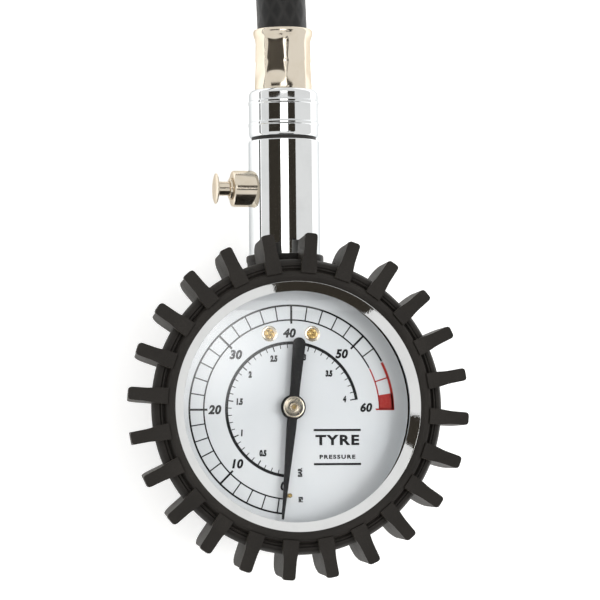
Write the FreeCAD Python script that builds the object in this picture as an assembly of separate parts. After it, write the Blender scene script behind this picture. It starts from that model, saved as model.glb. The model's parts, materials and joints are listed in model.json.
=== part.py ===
"""Dial tyre pressure gauge: rubber boot, Bourdon movement, bleed stem, hose and angled chuck.

Frame: origin on the dial axis in the plane of the boot's back, +Z out of the dial,
+Y along the stem towards the hose. Millimetres.
"""
import FreeCAD
import Part
import math
import os

V = FreeCAD.Vector
X = V(1, 0, 0)
Y = V(0, 1, 0)
Z = V(0, 0, 1)
ORIGIN = V(0, 0, 0)
HAIR = 0.02          # space left where two bodies would touch face to face

# ---- boot, case and window, stacked along Z
BOOT_R = 29.8
BOOT_BACK_R = 24.4
BOOT_BACK_HOLE_R = 21.7
BOOT_BACK_EDGE = 0.6
BOOT_SHOULDER_Z = 26.0
LIP_R = 25.1
BOOT_RIM_OUTLINE = [     # shoulder, groove, rib and rolled lip, from the outside in
    (29.0, 27.2), (28.0, 27.2), (27.8, 26.9), (27.6, 26.9), (27.4, 27.9), (26.8, 28.1), (26.4, 28.0),
    (LIP_R, 27.4),
]
LUG_COUNT = 24
LUG_FIRST_DEG = 85.6
LUG_TIP_R = 34.8
LUG_WIDTH = 2.6
LUG_FACE_WIDTH = 2.9
LUG_FACE_Z = 28.4
LUG_FACE_THICK = 1.0
LUG_INNER_R = 26.8
LUG_ROOT_R = 27.4
LUG_BACK_Z = 18.0
STEM_SLEEVE_R = 7.9
STEM_SLEEVE_Y = 31.2
CASE_R = 26.5
CASE_BODY_R = 25.2
CASE_BACK_R = 22.9
CASE_BORE_R = 24.4
CASE_FLOOR_R = 22.0
CASE_BACK_Z = 2.0
CASE_FLOOR_Z = 3.4
CASE_TAPER_Z = 9.5
CASE_FLANGE_Z = 17.9
CASE_STEP_Z = 19.4
CASE_SCREW_X = (-4.2, 4.2)
CASE_SCREW_Y = 19.0
CASE_SCREW_R = 1.0
SPIGOT_R = 25.4
SPIGOT_Z = 23.9
GASKET_THICK = 0.5
LENS_R = 25.3
LENS_THICK = 1.4
WINDOW_R = 23.4
BEZEL_R = 26.3
BEZEL_Z = 27.2
BEZEL_FLANK_R = 24.9
RELIEF_R = 3.0
RELIEF_Y = -13.0
RELIEF_HEAD_R = 4.2
RELIEF_LOW_Z = 1.4
RELIEF_TOP_Z = 4.2
CASE_SCREW_HEAD_R = 1.9
CASE_SCREW_LOW_Z = 1.1
CASE_SCREW_TOP_Z = 7.4

# ---- dial and pointer
DIAL_R = 24.2
DIAL_Z = 19.3
DIAL_THICK = 0.6
DIAL_HOLE_R = 1.6
DIAL_SCREW_R = 0.9
DIAL_SCREW_LENGTH = 3.4
DIAL_SCREW_PCR = 15.6
DIAL_SCREW_DEG = 16.5
DIAL_SCREW_HEAD = [(0, 0), (1.2, 0), (1.15, 0.3), (0.8, 0.5), (0, 0.55)]
RECESS_R = 1.4
RECESS_DEPTH = 0.15
REST_DEG = 264.0
POINTER_TIP = 22.7
POINTER_TAIL = 14.2
POINTER_Z = 20.8
POINTER_THICK = 0.3
POINTER_RING_R = 2.55
POINTER_CAP_R = 2.2
BUSH_R = 1.6
BUSH_LOW_Z = 20.2
BUSH_TOP_Z = 21.9
PIN_R = 0.45
PIN_PCR = 17.8
PIN_DEG = 267.0

# ---- movement
ARBOR_R = 0.4
ARBOR_TOP_Z = 22.15
PIVOT_GAP = 0.05
CENTRE_DISTANCE = 9.0
MODULE = 0.25
PINION_TEETH = 8
SECTOR_FULL_TEETH = 64
SECTOR_SWING = 33.0
SECTOR_Z = 10.4
SECTOR_THICK = 0.8
SECTOR_TEETH = 8
SECTOR_RIM_R = 5.4
SECTOR_HUB_R = 1.6
SECTOR_ARM_WIDTH = 1.3
SECTOR_EYE_R = 0.95
PINION_OVERHANG = 0.4
TAIL_LENGTH = 4.0
TIP_ARM = 15.0
LINK_DEG = 150.0
TIP_SWING = 8.668
LINK_Z = 11.35
LINK_THICK = 0.6
LINK_WIDTH = 1.0
LINK_EYE_R = 1.0
ARM_Z = 12.1
ARM_THICK = 0.8
ARM_WIDTH = 1.6
ARM_EYE_R = 1.1
LINK_PIN_R = 0.35
TAIL_HOLE_R = 0.55
BACK_PLATE_Z = 5.6
PLATE_THICK = 1.2
FRONT_PLATE_Z = 15.0
PILLARS = [(-1.5, -9.8), (6.5, -4.2), (4.6, 8.2)]
PILLAR_R = 1.3
SPRING_Z = 13.3
SPRING_HEIGHT = 0.8
SPRING_STRIP = 0.14
SPRING_TURNS = 4.5
SPRING_PITCH = 0.85
SPRING_STUD_R = 0.4
COLLET_R = 0.85
COLLET_HEIGHT = 1.0
PLATE_SCREW_R = 0.6
PLATE_SCREW_HEAD_R = 1.1
PLATE_SCREW_HEAD = 0.6
FRONT_SCREW_LENGTH = 3.6
BACK_SCREW_LENGTH = 4.2
BACK_PLATE_TOP_Y = 16.4
BACK_PLATE_NARROW = 5.4
FRONT_PLATE_TOP_Y = 11.4
FRONT_PLATE_NARROW = 4.8
MOVEMENT_SCREW_X = (-3.4, 3.4)
MOVEMENT_SCREW_Y = 14.4

# ---- Bourdon tube
TUBE_R = 19.5
TUBE_Z = 12.0
TUBE_HALF_THICK = 1.2
TUBE_HALF_HEIGHT = 3.5
TUBE_WALL = 0.35
TUBE_START_DEG = 76.0
TUBE_SWEEP = 264.0
TIP_CAP_SWEEP = 8.0
TIP_CAP_GAP = 0.15

# ---- socket block
SOCKET_HALF = 6.5
SOCKET_INNER_Y = 12.2
SOCKET_FOOT_Y = 17.0
SOCKET_OUTER_Y = 23.2
SOCKET_TOP_Z = 18.5
AIRWAY_R = 1.0
AIRWAY_Y = 18.9
TUBE_PORT_R = 0.8
TUBE_PORT_Z = 14.2
TUBE_PORT_LENGTH = 4.85
DIAL_POST_R = 2.0
CASE_SCREW_HOLE = 4.0
MOVEMENT_SCREW_HOLE = 2.4
SOCKET_GASKET_R = 5.6
SOCKET_GASKET_THICK = 0.9

# ---- stem, bleed valve and check valve
STEM_Z = 14.5
STEM_R = 7.3
STEM_BOTTOM_Y = 20.0
STEM_TOP_Y = 54.7
SHANK_R = 4.0
SHANK_TOP_Y = 33.5
STEM_BORE_R = 2.2
CHAMBER_R = 4.2
CHAMBER_Y = 47.5
BLEED_Y = 44.9
BLEED_BOSS_R = 3.7
BLEED_FACE_X = -11.0
BLEED_SHANK_R = 2.8
BLEED_INNER_X = -3.0
BLEED_ROOT_X = -5.0
BLEED_CHAMFER = 0.35
BLEED_GUIDE = 2.2
BLEED_POCKET_R = 2.0
BLEED_POCKET = 4.8
BLEED_GLAND_R = 2.2
BLEED_GLAND_THICK = 0.5
BLEED_HEAD_R = 1.7
BLEED_HEAD_THICK = 0.8
BLEED_HEAD_GAP = 0.45
BLEED_SEAL_THICK = 0.4
BLEED_COIL_R = 1.4
BLEED_WIRE_R = 0.18
BLEED_COILS = 4.0
BUTTON_R = 3.2
BUTTON_X = -14.05
BUTTON_THICK = 0.6
PLUNGER_R = 1.45
PLUNGER_END_X = -8.0
ROD_R = 0.8
SPRING_STEPS = 16
POPPET_FLANGE = 1.6
POPPET_OUTLINE = [
    (0, 0.3), (1.0, 0.3), (1.0, POPPET_FLANGE), (2.8, POPPET_FLANGE), (3.0, 2.4), (2.0, 2.95), (0, 2.95),
]
CHECK_COIL_R = 2.6
CHECK_WIRE_R = 0.16
CHECK_COILS = 1.5
COLLAR_BOTTOM_Y = 55.4
COLLAR_TOP_Y = 64.6
COLLAR_R = 7.1
COLLAR_BEAD = 0.22
COLLAR_OUTLINE = [       # skirt, lower bead, waist, upper bead and chamfer
    (6.9, COLLAR_BOTTOM_Y), (7.15, 55.7), (7.2, 57.3), (COLLAR_R, 57.45), (COLLAR_R + COLLAR_BEAD, 57.8),
    (COLLAR_R + COLLAR_BEAD, 58.3), (COLLAR_R, 58.65), (COLLAR_R, 61.8), (COLLAR_R + COLLAR_BEAD, 62.15),
    (COLLAR_R + COLLAR_BEAD, 62.8), (7.15, 63.2), (5.85, 64.5), (5.7, COLLAR_TOP_Y),
]
WASHER_R = 6.6
TAIL_SHANK_R = 4.6
TAIL_BORE_R = 1.4
TAIL_SPIGOT = 3.0
TAIL_LEAD = 1.2
TAIL_NOSE_R = 2.6

# ---- hose and its ferrules
HOSE_R = 5.1
HOSE_BORE_R = 3.0
FERRULE_R = 5.85
FERRULE_LENGTH = 13.0
FERRULE_Y = 64.7
FERRULE_FLAT_R = 5.45
FERRULE_EDGE_DEG = -5.3
FERRULE_MOUTH_R = 5.7
FERRULE_SOFT = 0.1
CRIMP_START = 3.4
CRIMP_END = 10.2
HOSE_POCKET = 12.0
BARB_ROOT_R = 2.7
BARB_TIP_R = 2.4
BARB_LENGTH = 11.6
BARB_START = 0.5
BARB_RIDGES = 4
BARB_STEP = 2.5
HOSE_ROUTE = [
    (0.0, 65.2, 14.5),
    (0.0, 92.2, 14.5),
    (-2.8, 119.8, 5.1),
    (-18.0, 146.2, 5.1),
    (-44.3, 161.4, 5.1),
    (-74.7, 161.5, 5.1),
    (-101.0, 146.2, 5.1),
    (-116.2, 119.9, 5.1),
    (-118.6, 91.0, 5.1),
    (-117.1, 65.5, 5.2),
    (-117.6, 41.5, 7.4),
    (-117.6, 18.0, 7.4),
]
ARC_SHARE = 0.45

# ---- chuck
NUT_FLATS = 12.0
NUT_LENGTH = 6.4
NUT_CHAMFER = 0.6
NUT_GAP = 0.5
CHUCK_TAIL_BORE_R = 1.2
CHUCK_SHANK_R = 4.2
TAIL_OUT = 14.0
CHUCK_R = 6.6
CHUCK_LEG = 11.0
CHUCK_EDGE = 0.4
CHUCK_GAP = 0.1
SHANK_POCKET = 8.2
CHUCK_NOSE_R = 5.6
CHUCK_TURN_DEG = 45.0
CAP_R = 7.35
CAP_RIDGES = 30
CAP_RIDGE_DEPTH = 0.3
CAP_START = 7.6
CAP_BACK_R = 6.7
CAP_MOUTH_R = 6.5
NOSE_END = 12.2
SEAL_THICK = 1.6
SEAL_BORE_R = 1.8
SOCKET_START = NOSE_END + SEAL_THICK
SOCKET_R = 4.1
SOCKET_LENGTH = 6.4
SOCKET_CHAMFER = 0.5
DEPRESSOR_R = 3.2
DEPRESSOR_DEPTH = 1.4
DEPRESSOR_THICK = 0.7
DEPRESSOR_HOLE_R = 0.5
DEPRESSOR_HOLE_PCR = 2.0
DEPRESSOR_PIN_R = 0.8


def chuck_point(y):
    end = HOSE_ROUTE[-1]
    return V(end[0], y, end[2])


def nut_top_y():
    return HOSE_ROUTE[-1][1] - NUT_GAP


def chuck_top_y():
    return nut_top_y() - NUT_LENGTH - CHUCK_GAP


def head_axis():
    return FreeCAD.Rotation(Z, CHUCK_TURN_DEG).multVec(-Y)


def elbow_point():
    return chuck_point(chuck_top_y() - CHUCK_LEG)


def head_point(along):
    return elbow_point() + head_axis() * along


def save(name, shape):
    solids = shape.Solids
    body = solids[0] if len(solids) == 1 else Part.makeCompound(solids)
    body.exportStep("parts/" + name + ".step")
    print(name, "solids", len(solids), "volume", round(body.Volume, 2), "valid", body.isValid())


def cylinder(radius, length, base=ORIGIN, axis=Z):
    return Part.makeCylinder(radius, length, base, axis)


def ring(outer, inner, length, base=ORIGIN, axis=Z):
    return cylinder(outer, length, base, axis).cut(cylinder(inner, length, base, axis))


def polar(radius, degrees, z=0.0, centre=ORIGIN):
    angle = math.radians(degrees)
    return V(centre.x + radius * math.cos(angle), centre.y + radius * math.sin(angle), z)


def spun(point, centre, degrees):
    """point turned about a vertical axis through centre."""
    offset = point - V(centre.x, centre.y, point.z)
    turned_offset = FreeCAD.Rotation(Z, degrees).multVec(offset)
    return V(centre.x, centre.y, point.z) + turned_offset


def turned(profile, base=ORIGIN, axis=Z):
    """A solid of revolution: profile is (radius, distance along the axis) pairs."""
    corners = [V(radius, 0, along) for radius, along in profile]
    face = Part.Face(Part.makePolygon(corners + corners[:1]))
    solid = face.revolve(ORIGIN, Z, 360)
    solid.Placement = FreeCAD.Placement(base, FreeCAD.Rotation(Z, axis))
    return solid


def plate(corners, z, thick):
    points = [V(x, y, z) for x, y in corners]
    return Part.Face(Part.makePolygon(points + points[:1])).extrude(V(0, 0, thick))


def prism(sides, radius, length, base, axis, first_deg=0.0):
    """A regular prism; radius is to its corners, and the first corner is first_deg round from local X."""
    corners = [polar(radius, first_deg + 360.0 / sides * i) for i in range(sides)]
    solid = Part.Face(Part.makePolygon(corners + corners[:1])).extrude(V(0, 0, length))
    solid.Placement = FreeCAD.Placement(base, FreeCAD.Rotation(Z, axis))
    return solid


def fused(shapes):
    result = shapes[0]
    for shape in shapes[1:]:
        result = result.fuse(shape)
    return result.removeSplitter()


def cut_all(shape, tools):
    for tool in tools:
        shape = shape.cut(tool)
    return shape


def stem_point(y):
    return V(0, y, STEM_Z)


def bleed_point(x):
    return V(x, BLEED_Y, STEM_Z)


# ---------------------------------------------------------------- boot and case

def slab(outline, width):
    """An outline of (radius, z) points on the +X side, as thick as width across."""
    corners = [V(r, -width / 2, z) for r, z in outline]
    return Part.Face(Part.makePolygon(corners + corners[:1])).extrude(V(0, width, 0))


def boot_lug():
    """One lug on the +X side: a plate in front and a slightly narrower rib with a rounded back corner."""
    face_back_z = LUG_FACE_Z - LUG_FACE_THICK
    plate_outline = [
        (LUG_INNER_R, LUG_FACE_Z), (LUG_TIP_R, LUG_FACE_Z), (LUG_TIP_R - 0.2, face_back_z),
        (LUG_INNER_R, face_back_z),
    ]
    rib_outline = [
        (LUG_ROOT_R, face_back_z), (LUG_TIP_R - 0.4, face_back_z), (LUG_TIP_R - 0.8, LUG_BACK_Z + 3.4),
        (LUG_TIP_R - 1.5, LUG_BACK_Z + 1.2), (LUG_TIP_R - 2.9, LUG_BACK_Z), (LUG_ROOT_R, LUG_BACK_Z),
    ]
    return slab(plate_outline, LUG_FACE_WIDTH).fuse(slab(rib_outline, LUG_WIDTH))


def case_envelope(gap):
    """The outside of the case, grown by gap, and a plain cylinder in front of its flange."""
    return turned([
        (0, CASE_BACK_Z), (CASE_BACK_R + gap, CASE_BACK_Z), (CASE_BODY_R + gap, CASE_TAPER_Z),
        (CASE_BODY_R + gap, CASE_FLANGE_Z - gap), (CASE_R + gap, CASE_FLANGE_Z - gap),
        (CASE_R + gap, LUG_FACE_Z), (0, LUG_FACE_Z),
    ])


def case_room():
    """The room inside the case, a hair smaller."""
    return turned([
        (0, CASE_FLOOR_Z), (CASE_FLOOR_R - HAIR, CASE_FLOOR_Z), (CASE_BORE_R - HAIR, CASE_TAPER_Z),
        (CASE_BORE_R - HAIR, DIAL_Z - DIAL_THICK), (0, DIAL_Z - DIAL_THICK),
    ])


def boot():
    inner_r = CASE_R + HAIR
    shell = turned([
        (BOOT_BACK_HOLE_R, 0), (BOOT_BACK_R - BOOT_BACK_EDGE, 0), (BOOT_BACK_R, BOOT_BACK_EDGE),
        (BOOT_R, BOOT_SHOULDER_Z), *BOOT_RIM_OUTLINE, (LIP_R, BEZEL_Z + HAIR), (inner_r, BEZEL_Z + HAIR),
        (inner_r, CASE_FLANGE_Z - HAIR), (CASE_BODY_R + HAIR, CASE_FLANGE_Z - HAIR),
        (CASE_BODY_R + HAIR, CASE_TAPER_Z), (CASE_BACK_R + HAIR, CASE_BACK_Z), (BOOT_BACK_HOLE_R, CASE_BACK_Z),
    ])
    sleeve_y = BOOT_BACK_HOLE_R
    sleeve = cylinder(STEM_SLEEVE_R, STEM_SLEEVE_Y - sleeve_y, stem_point(sleeve_y), Y)
    sleeve = sleeve.cut(case_envelope(HAIR))
    solids = [shell, sleeve]
    lug = boot_lug()
    for i in range(LUG_COUNT):
        copy = lug.copy()
        copy.rotate(ORIGIN, Z, LUG_FIRST_DEG + 360.0 / LUG_COUNT * i)
        solids.append(copy)
    stem_hole = cylinder(STEM_R + HAIR, BOOT_R, stem_point(sleeve_y), Y)
    return fused(solids).cut(stem_hole)


def case():
    shell = turned([
        (0, CASE_BACK_Z), (CASE_BACK_R, CASE_BACK_Z), (CASE_BODY_R, CASE_TAPER_Z), (CASE_BODY_R, CASE_FLANGE_Z),
        (CASE_R, CASE_FLANGE_Z), (CASE_R, CASE_STEP_Z), (SPIGOT_R, CASE_STEP_Z), (SPIGOT_R, SPIGOT_Z),
        (CASE_BORE_R, SPIGOT_Z), (CASE_BORE_R, CASE_TAPER_Z), (CASE_FLOOR_R, CASE_FLOOR_Z), (0, CASE_FLOOR_Z),
    ])
    holes = [
        cylinder(SHANK_R, CASE_R, stem_point(SOCKET_INNER_Y), Y),
        cylinder(RELIEF_R, CASE_FLOOR_Z, V(0, RELIEF_Y, 0)),
    ]
    for x in CASE_SCREW_X:
        holes.append(cylinder(CASE_SCREW_R, CASE_FLOOR_Z, V(x, CASE_SCREW_Y, 0)))
    return cut_all(shell, holes)


def relief_plug():
    """A rubber plug that blows out of the case's back if the tube bursts."""
    edge = 0.3
    return turned([
        (0, RELIEF_LOW_Z), (RELIEF_HEAD_R - edge, RELIEF_LOW_Z), (RELIEF_HEAD_R, RELIEF_LOW_Z + edge),
        (RELIEF_HEAD_R, CASE_BACK_Z), (RELIEF_R, CASE_BACK_Z), (RELIEF_R, CASE_FLOOR_Z),
        (RELIEF_HEAD_R - edge, CASE_FLOOR_Z), (RELIEF_R, RELIEF_TOP_Z), (0, RELIEF_TOP_Z),
    ], V(0, RELIEF_Y, 0))


def cross_slot(radius, depth, centre, top_z):
    """The tool for a cross recess sunk depth below top_z."""
    width = 0.35 * radius
    span = 1.5 * radius
    bar = Part.makeBox(span, width, depth)
    bar.translate(V(-span / 2, -width / 2, top_z - depth))
    other = bar.copy()
    other.rotate(ORIGIN, Z, 90)
    both = bar.fuse(other)
    both.translate(V(centre.x, centre.y, 0))
    return both


def case_screws():
    edge = 0.3
    slot_depth = 0.4
    screws = []
    for x in CASE_SCREW_X:
        centre = V(x, CASE_SCREW_Y, 0)
        screw = turned([
            (0, CASE_SCREW_LOW_Z), (CASE_SCREW_HEAD_R - edge, CASE_SCREW_LOW_Z),
            (CASE_SCREW_HEAD_R, CASE_SCREW_LOW_Z + edge), (CASE_SCREW_HEAD_R, CASE_BACK_Z),
            (CASE_SCREW_R, CASE_BACK_Z), (CASE_SCREW_R, CASE_SCREW_TOP_Z), (0, CASE_SCREW_TOP_Z),
        ], centre)
        slot = cross_slot(CASE_SCREW_HEAD_R, slot_depth, centre, CASE_SCREW_LOW_Z + slot_depth)
        screws.append(screw.cut(slot))
    return Part.makeCompound(screws)


def bezel():
    lens_top = SPIGOT_Z + GASKET_THICK + LENS_THICK
    edge = 0.5
    lip = 0.3
    return turned([
        (SPIGOT_R, CASE_STEP_Z), (BEZEL_R, CASE_STEP_Z), (BEZEL_R, BEZEL_Z - edge), (BEZEL_R - edge, BEZEL_Z),
        (BEZEL_FLANK_R, BEZEL_Z), (WINDOW_R, lens_top + lip), (WINDOW_R, lens_top), (SPIGOT_R, lens_top),
    ])


def lens_gasket():
    return ring(LENS_R, CASE_BORE_R, GASKET_THICK, V(0, 0, SPIGOT_Z))


def lens():
    bottom = SPIGOT_Z + GASKET_THICK
    chamfer = 0.2
    return turned([
        (0, bottom), (LENS_R - chamfer, bottom), (LENS_R, bottom + chamfer),
        (LENS_R, bottom + LENS_THICK), (0, bottom + LENS_THICK),
    ])


# ---------------------------------------------------------------- dial and pointer

def dial_screw_centres():
    return [polar(DIAL_SCREW_PCR, 90 + side * DIAL_SCREW_DEG) for side in (-1, 1)]


def dial_plate():
    disc = ring(DIAL_R, DIAL_HOLE_R, DIAL_THICK, V(0, 0, DIAL_Z - DIAL_THICK))
    tools = [cylinder(PIN_R, DIAL_THICK, polar(PIN_PCR, PIN_DEG, DIAL_Z - DIAL_THICK))]
    for centre in dial_screw_centres():
        tools.append(cylinder(DIAL_SCREW_R, DIAL_THICK, centre + V(0, 0, DIAL_Z - DIAL_THICK)))
        tools.append(cylinder(RECESS_R, RECESS_DEPTH, centre + V(0, 0, DIAL_Z - RECESS_DEPTH)))
    return cut_all(disc, tools)


def dial_screws():
    floor_z = DIAL_Z - RECESS_DEPTH
    slot_r = 0.8
    slot_depth = 0.25
    screws = []
    for centre in dial_screw_centres():
        shank = cylinder(DIAL_SCREW_R, DIAL_SCREW_LENGTH, centre + V(0, 0, floor_z - DIAL_SCREW_LENGTH))
        head = turned(DIAL_SCREW_HEAD, centre + V(0, 0, floor_z))
        slot = cross_slot(slot_r, slot_depth, centre, floor_z + DIAL_SCREW_HEAD[-1][1])
        screws.append(shank.fuse(head).cut(slot))
    return Part.makeCompound(screws)


def stop_pin():
    rise = 2.2       # past the pointer's top
    top = 0.15
    return turned([
        (0, -DIAL_THICK), (PIN_R, -DIAL_THICK), (PIN_R, rise), (PIN_R - top, rise + top), (0, rise + top),
    ], polar(PIN_PCR, PIN_DEG, DIAL_Z))


def pointer():
    tip_half = 0.22
    hub_half = 1.0
    tail_half = 1.3
    neck = 4.0
    outline = [
        (POINTER_TIP, -tip_half), (POINTER_TIP, tip_half), (neck, hub_half), (-neck, hub_half),
        (-POINTER_TAIL + tail_half, tail_half), (-POINTER_TAIL + tail_half, -tail_half),
        (-neck, -hub_half), (neck, -hub_half),
    ]
    blade = plate(outline, POINTER_Z, POINTER_THICK)
    end = cylinder(tail_half, POINTER_THICK, V(-POINTER_TAIL + tail_half, 0, POINTER_Z))
    hub = cylinder(POINTER_RING_R, POINTER_THICK, V(0, 0, POINTER_Z))
    shape = fused([blade, end, hub]).cut(cylinder(BUSH_R, POINTER_THICK, V(0, 0, POINTER_Z)))
    shape.rotate(ORIGIN, Z, REST_DEG)
    return shape


def pointer_bush():
    """The nickel bush that presses on the arbor and carries the blade."""
    edge = 0.3
    return turned([
        (ARBOR_R, BUSH_LOW_Z), (BUSH_R, BUSH_LOW_Z), (BUSH_R, POINTER_Z + POINTER_THICK),
        (POINTER_CAP_R, POINTER_Z + POINTER_THICK), (POINTER_CAP_R, BUSH_TOP_Z - edge),
        (POINTER_CAP_R - edge, BUSH_TOP_Z), (ARBOR_R, BUSH_TOP_Z),
    ])


# ---------------------------------------------------------------- movement

def tube_centre():
    """Elastic centre of the Bourdon arc, about which its tip swings."""
    half = math.radians(TUBE_SWEEP / 2)
    return polar(TUBE_R * math.sin(half) / half, TUBE_START_DEG - TUBE_SWEEP / 2)


def sector_layout():
    """Sector pivot and the two link pins at half travel, from a link square to both cranks."""
    along = polar(1.0, LINK_DEG)
    across = polar(1.0, LINK_DEG + 90)
    foot = tube_centre() + along * (TIP_ARM - TAIL_LENGTH)
    b = foot.dot(across)
    c = foot.dot(foot) - CENTRE_DISTANCE ** 2
    link_length = -b + math.sqrt(b * b - c)
    pivot = foot + across * link_length
    return pivot, tube_centre() + along * TIP_ARM, pivot + along * TAIL_LENGTH


def rest_pins():
    """Sector pivot, tip pin and tail pin with the gauge at zero."""
    pivot, tip_mid, tail_mid = sector_layout()
    tip = spun(tip_mid, tube_centre(), -TIP_SWING / 2)
    tail = spun(tail_mid, pivot, -SECTOR_SWING / 2)
    return pivot, tip, tail


def gear_outline(pitch_r, pitch_count, first, count, phase_deg):
    """Points of count teeth of a gear with pitch_count teeth in the full circle."""
    tip_r = pitch_r + 0.8 * MODULE
    root_r = pitch_r - 1.15 * MODULE
    step = 360.0 / pitch_count
    points = []
    for i in range(first, first + count):
        centre = phase_deg + step * i
        for share, radius in ((-0.27, root_r), (-0.07, tip_r), (0.07, tip_r), (0.27, root_r)):
            points.append(polar(radius, centre + share * step))
    return points


def pinion_arbor():
    """Arbor from the back pivot to the pointer, with its pinion; at rest a tooth sits mid turn away."""
    pivot = sector_layout()[0]
    to_sector = math.degrees(math.atan2(pivot.y, pivot.x))
    ratio = SECTOR_FULL_TEETH / PINION_TEETH
    phase = to_sector + ratio * SECTOR_SWING / 2
    points = gear_outline(MODULE * PINION_TEETH / 2, PINION_TEETH, 0, PINION_TEETH, phase)
    face = Part.Face(Part.makePolygon(points + points[:1]))
    pinion = face.extrude(V(0, 0, SECTOR_THICK + 2 * PINION_OVERHANG))
    pinion.translate(V(0, 0, SECTOR_Z - PINION_OVERHANG))
    arbor = cylinder(ARBOR_R, ARBOR_TOP_Z - BACK_PLATE_Z, V(0, 0, BACK_PLATE_Z))
    collet = cylinder(COLLET_R, COLLET_HEIGHT, V(0, 0, SPRING_Z - (COLLET_HEIGHT - SPRING_HEIGHT) / 2))
    return fused([arbor, pinion, collet])


def sector_gear():
    pivot, _, tail = rest_pins()
    to_pinion = math.degrees(math.atan2(-pivot.y, -pivot.x))
    step = 360.0 / SECTOR_FULL_TEETH
    centre_deg = to_pinion - SECTOR_SWING / 2
    pitch_r = MODULE * SECTOR_FULL_TEETH / 2
    teeth = gear_outline(pitch_r, SECTOR_FULL_TEETH, -SECTOR_TEETH // 2, SECTOR_TEETH, centre_deg + step / 2)
    inner = [polar(SECTOR_RIM_R, centre_deg + turn) for turn in (20, 0, -20)]
    rim = Part.Face(Part.makePolygon(teeth + inner + teeth[:1])).extrude(V(0, 0, SECTOR_THICK))
    web_r = SECTOR_RIM_R + 0.6
    root_r = SECTOR_HUB_R - 0.2
    web = [polar(root_r, centre_deg - 70), polar(web_r, centre_deg - 11), polar(web_r, centre_deg + 11),
           polar(root_r, centre_deg + 70)]
    web_plate = Part.Face(Part.makePolygon(web + web[:1])).extrude(V(0, 0, SECTOR_THICK))
    hub = cylinder(SECTOR_HUB_R, SECTOR_THICK)
    local_tail = tail - V(pivot.x, pivot.y, 0)
    tail_deg = math.degrees(math.atan2(local_tail.y, local_tail.x))
    arm = Part.makeBox(TAIL_LENGTH, SECTOR_ARM_WIDTH, SECTOR_THICK, V(0, -SECTOR_ARM_WIDTH / 2, 0))
    arm.rotate(ORIGIN, Z, tail_deg)
    boss = cylinder(SECTOR_EYE_R, SECTOR_THICK, V(local_tail.x, local_tail.y, 0))
    shape = fused([rim, web_plate, hub, arm, boss])
    shape = shape.cut(cylinder(ARBOR_R, SECTOR_THICK))
    shape = shape.cut(cylinder(LINK_PIN_R, SECTOR_THICK, V(local_tail.x, local_tail.y, 0)))
    shape.translate(V(pivot.x, pivot.y, SECTOR_Z))
    return shape


def sector_arbor():
    pivot = sector_layout()[0]
    top = FRONT_PLATE_Z + PLATE_THICK
    return cylinder(ARBOR_R, top - BACK_PLATE_Z, V(pivot.x, pivot.y, BACK_PLATE_Z))


def tail_pin():
    tail = rest_pins()[2]
    height = LINK_Z + LINK_THICK + 0.1 - SECTOR_Z
    return cylinder(LINK_PIN_R, height, V(tail.x, tail.y, SECTOR_Z))


def tip_pin():
    tip = rest_pins()[1]
    height = ARM_Z + ARM_THICK - (LINK_Z - 0.1)
    return cylinder(LINK_PIN_R, height, V(tip.x, tip.y, LINK_Z - 0.1))


def tip_link():
    _, tip, tail = rest_pins()
    tip = V(tip.x, tip.y, 0)
    tail = V(tail.x, tail.y, 0)
    span = tail - tip
    bar = Part.makeBox(span.Length, LINK_WIDTH, LINK_THICK, V(0, -LINK_WIDTH / 2, 0))
    bar.rotate(ORIGIN, Z, math.degrees(math.atan2(span.y, span.x)))
    bar.translate(tip)
    shape = fused([bar, cylinder(LINK_EYE_R, LINK_THICK, tip), cylinder(LINK_EYE_R, LINK_THICK, tail)])
    shape = shape.cut(cylinder(LINK_PIN_R + PIVOT_GAP, LINK_THICK, tip))
    shape = shape.cut(cylinder(TAIL_HOLE_R, LINK_THICK, tail))
    shape.translate(V(0, 0, LINK_Z))
    return shape


def plate_outline(top_y, narrow):
    """Outline of a movement plate, from top_y down round all three arbors and pillars."""
    return [
        (-narrow, top_y), (narrow, top_y), (7.4, 8.0), (8.8, -4.0), (6.4, -7.0), (0.6, -12.2),
        (-3.6, -12.2), (-10.6, -6.4), (-10.4, -2.2), (-narrow, 3.4),
    ]


def movement_plate(top_y, narrow, z):
    pivot = sector_layout()[0]
    shape = plate(plate_outline(top_y, narrow), z, PLATE_THICK)
    tools = [
        cylinder(ARBOR_R + PIVOT_GAP, PLATE_THICK, V(0, 0, z)),
        cylinder(ARBOR_R + PIVOT_GAP, PLATE_THICK, V(pivot.x, pivot.y, z)),
    ]
    for x, y in PILLARS:
        tools.append(cylinder(PLATE_SCREW_R, PLATE_THICK, V(x, y, z)))
    return cut_all(shape, tools)


def movement_back_plate():
    shape = movement_plate(BACK_PLATE_TOP_Y, BACK_PLATE_NARROW, BACK_PLATE_Z)
    tools = [cylinder(PLATE_SCREW_R, PLATE_THICK, V(x, MOVEMENT_SCREW_Y, BACK_PLATE_Z))
             for x in MOVEMENT_SCREW_X]
    return cut_all(shape, tools)


def movement_front_plate():
    return movement_plate(FRONT_PLATE_TOP_Y, FRONT_PLATE_NARROW, FRONT_PLATE_Z)


def movement_pillars():
    z = BACK_PLATE_Z + PLATE_THICK
    height = FRONT_PLATE_Z - z
    posts = []
    for x, y in PILLARS:
        posts.append(ring(PILLAR_R, PLATE_SCREW_R, height, V(x, y, z)))
    return Part.makeCompound(posts)


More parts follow.
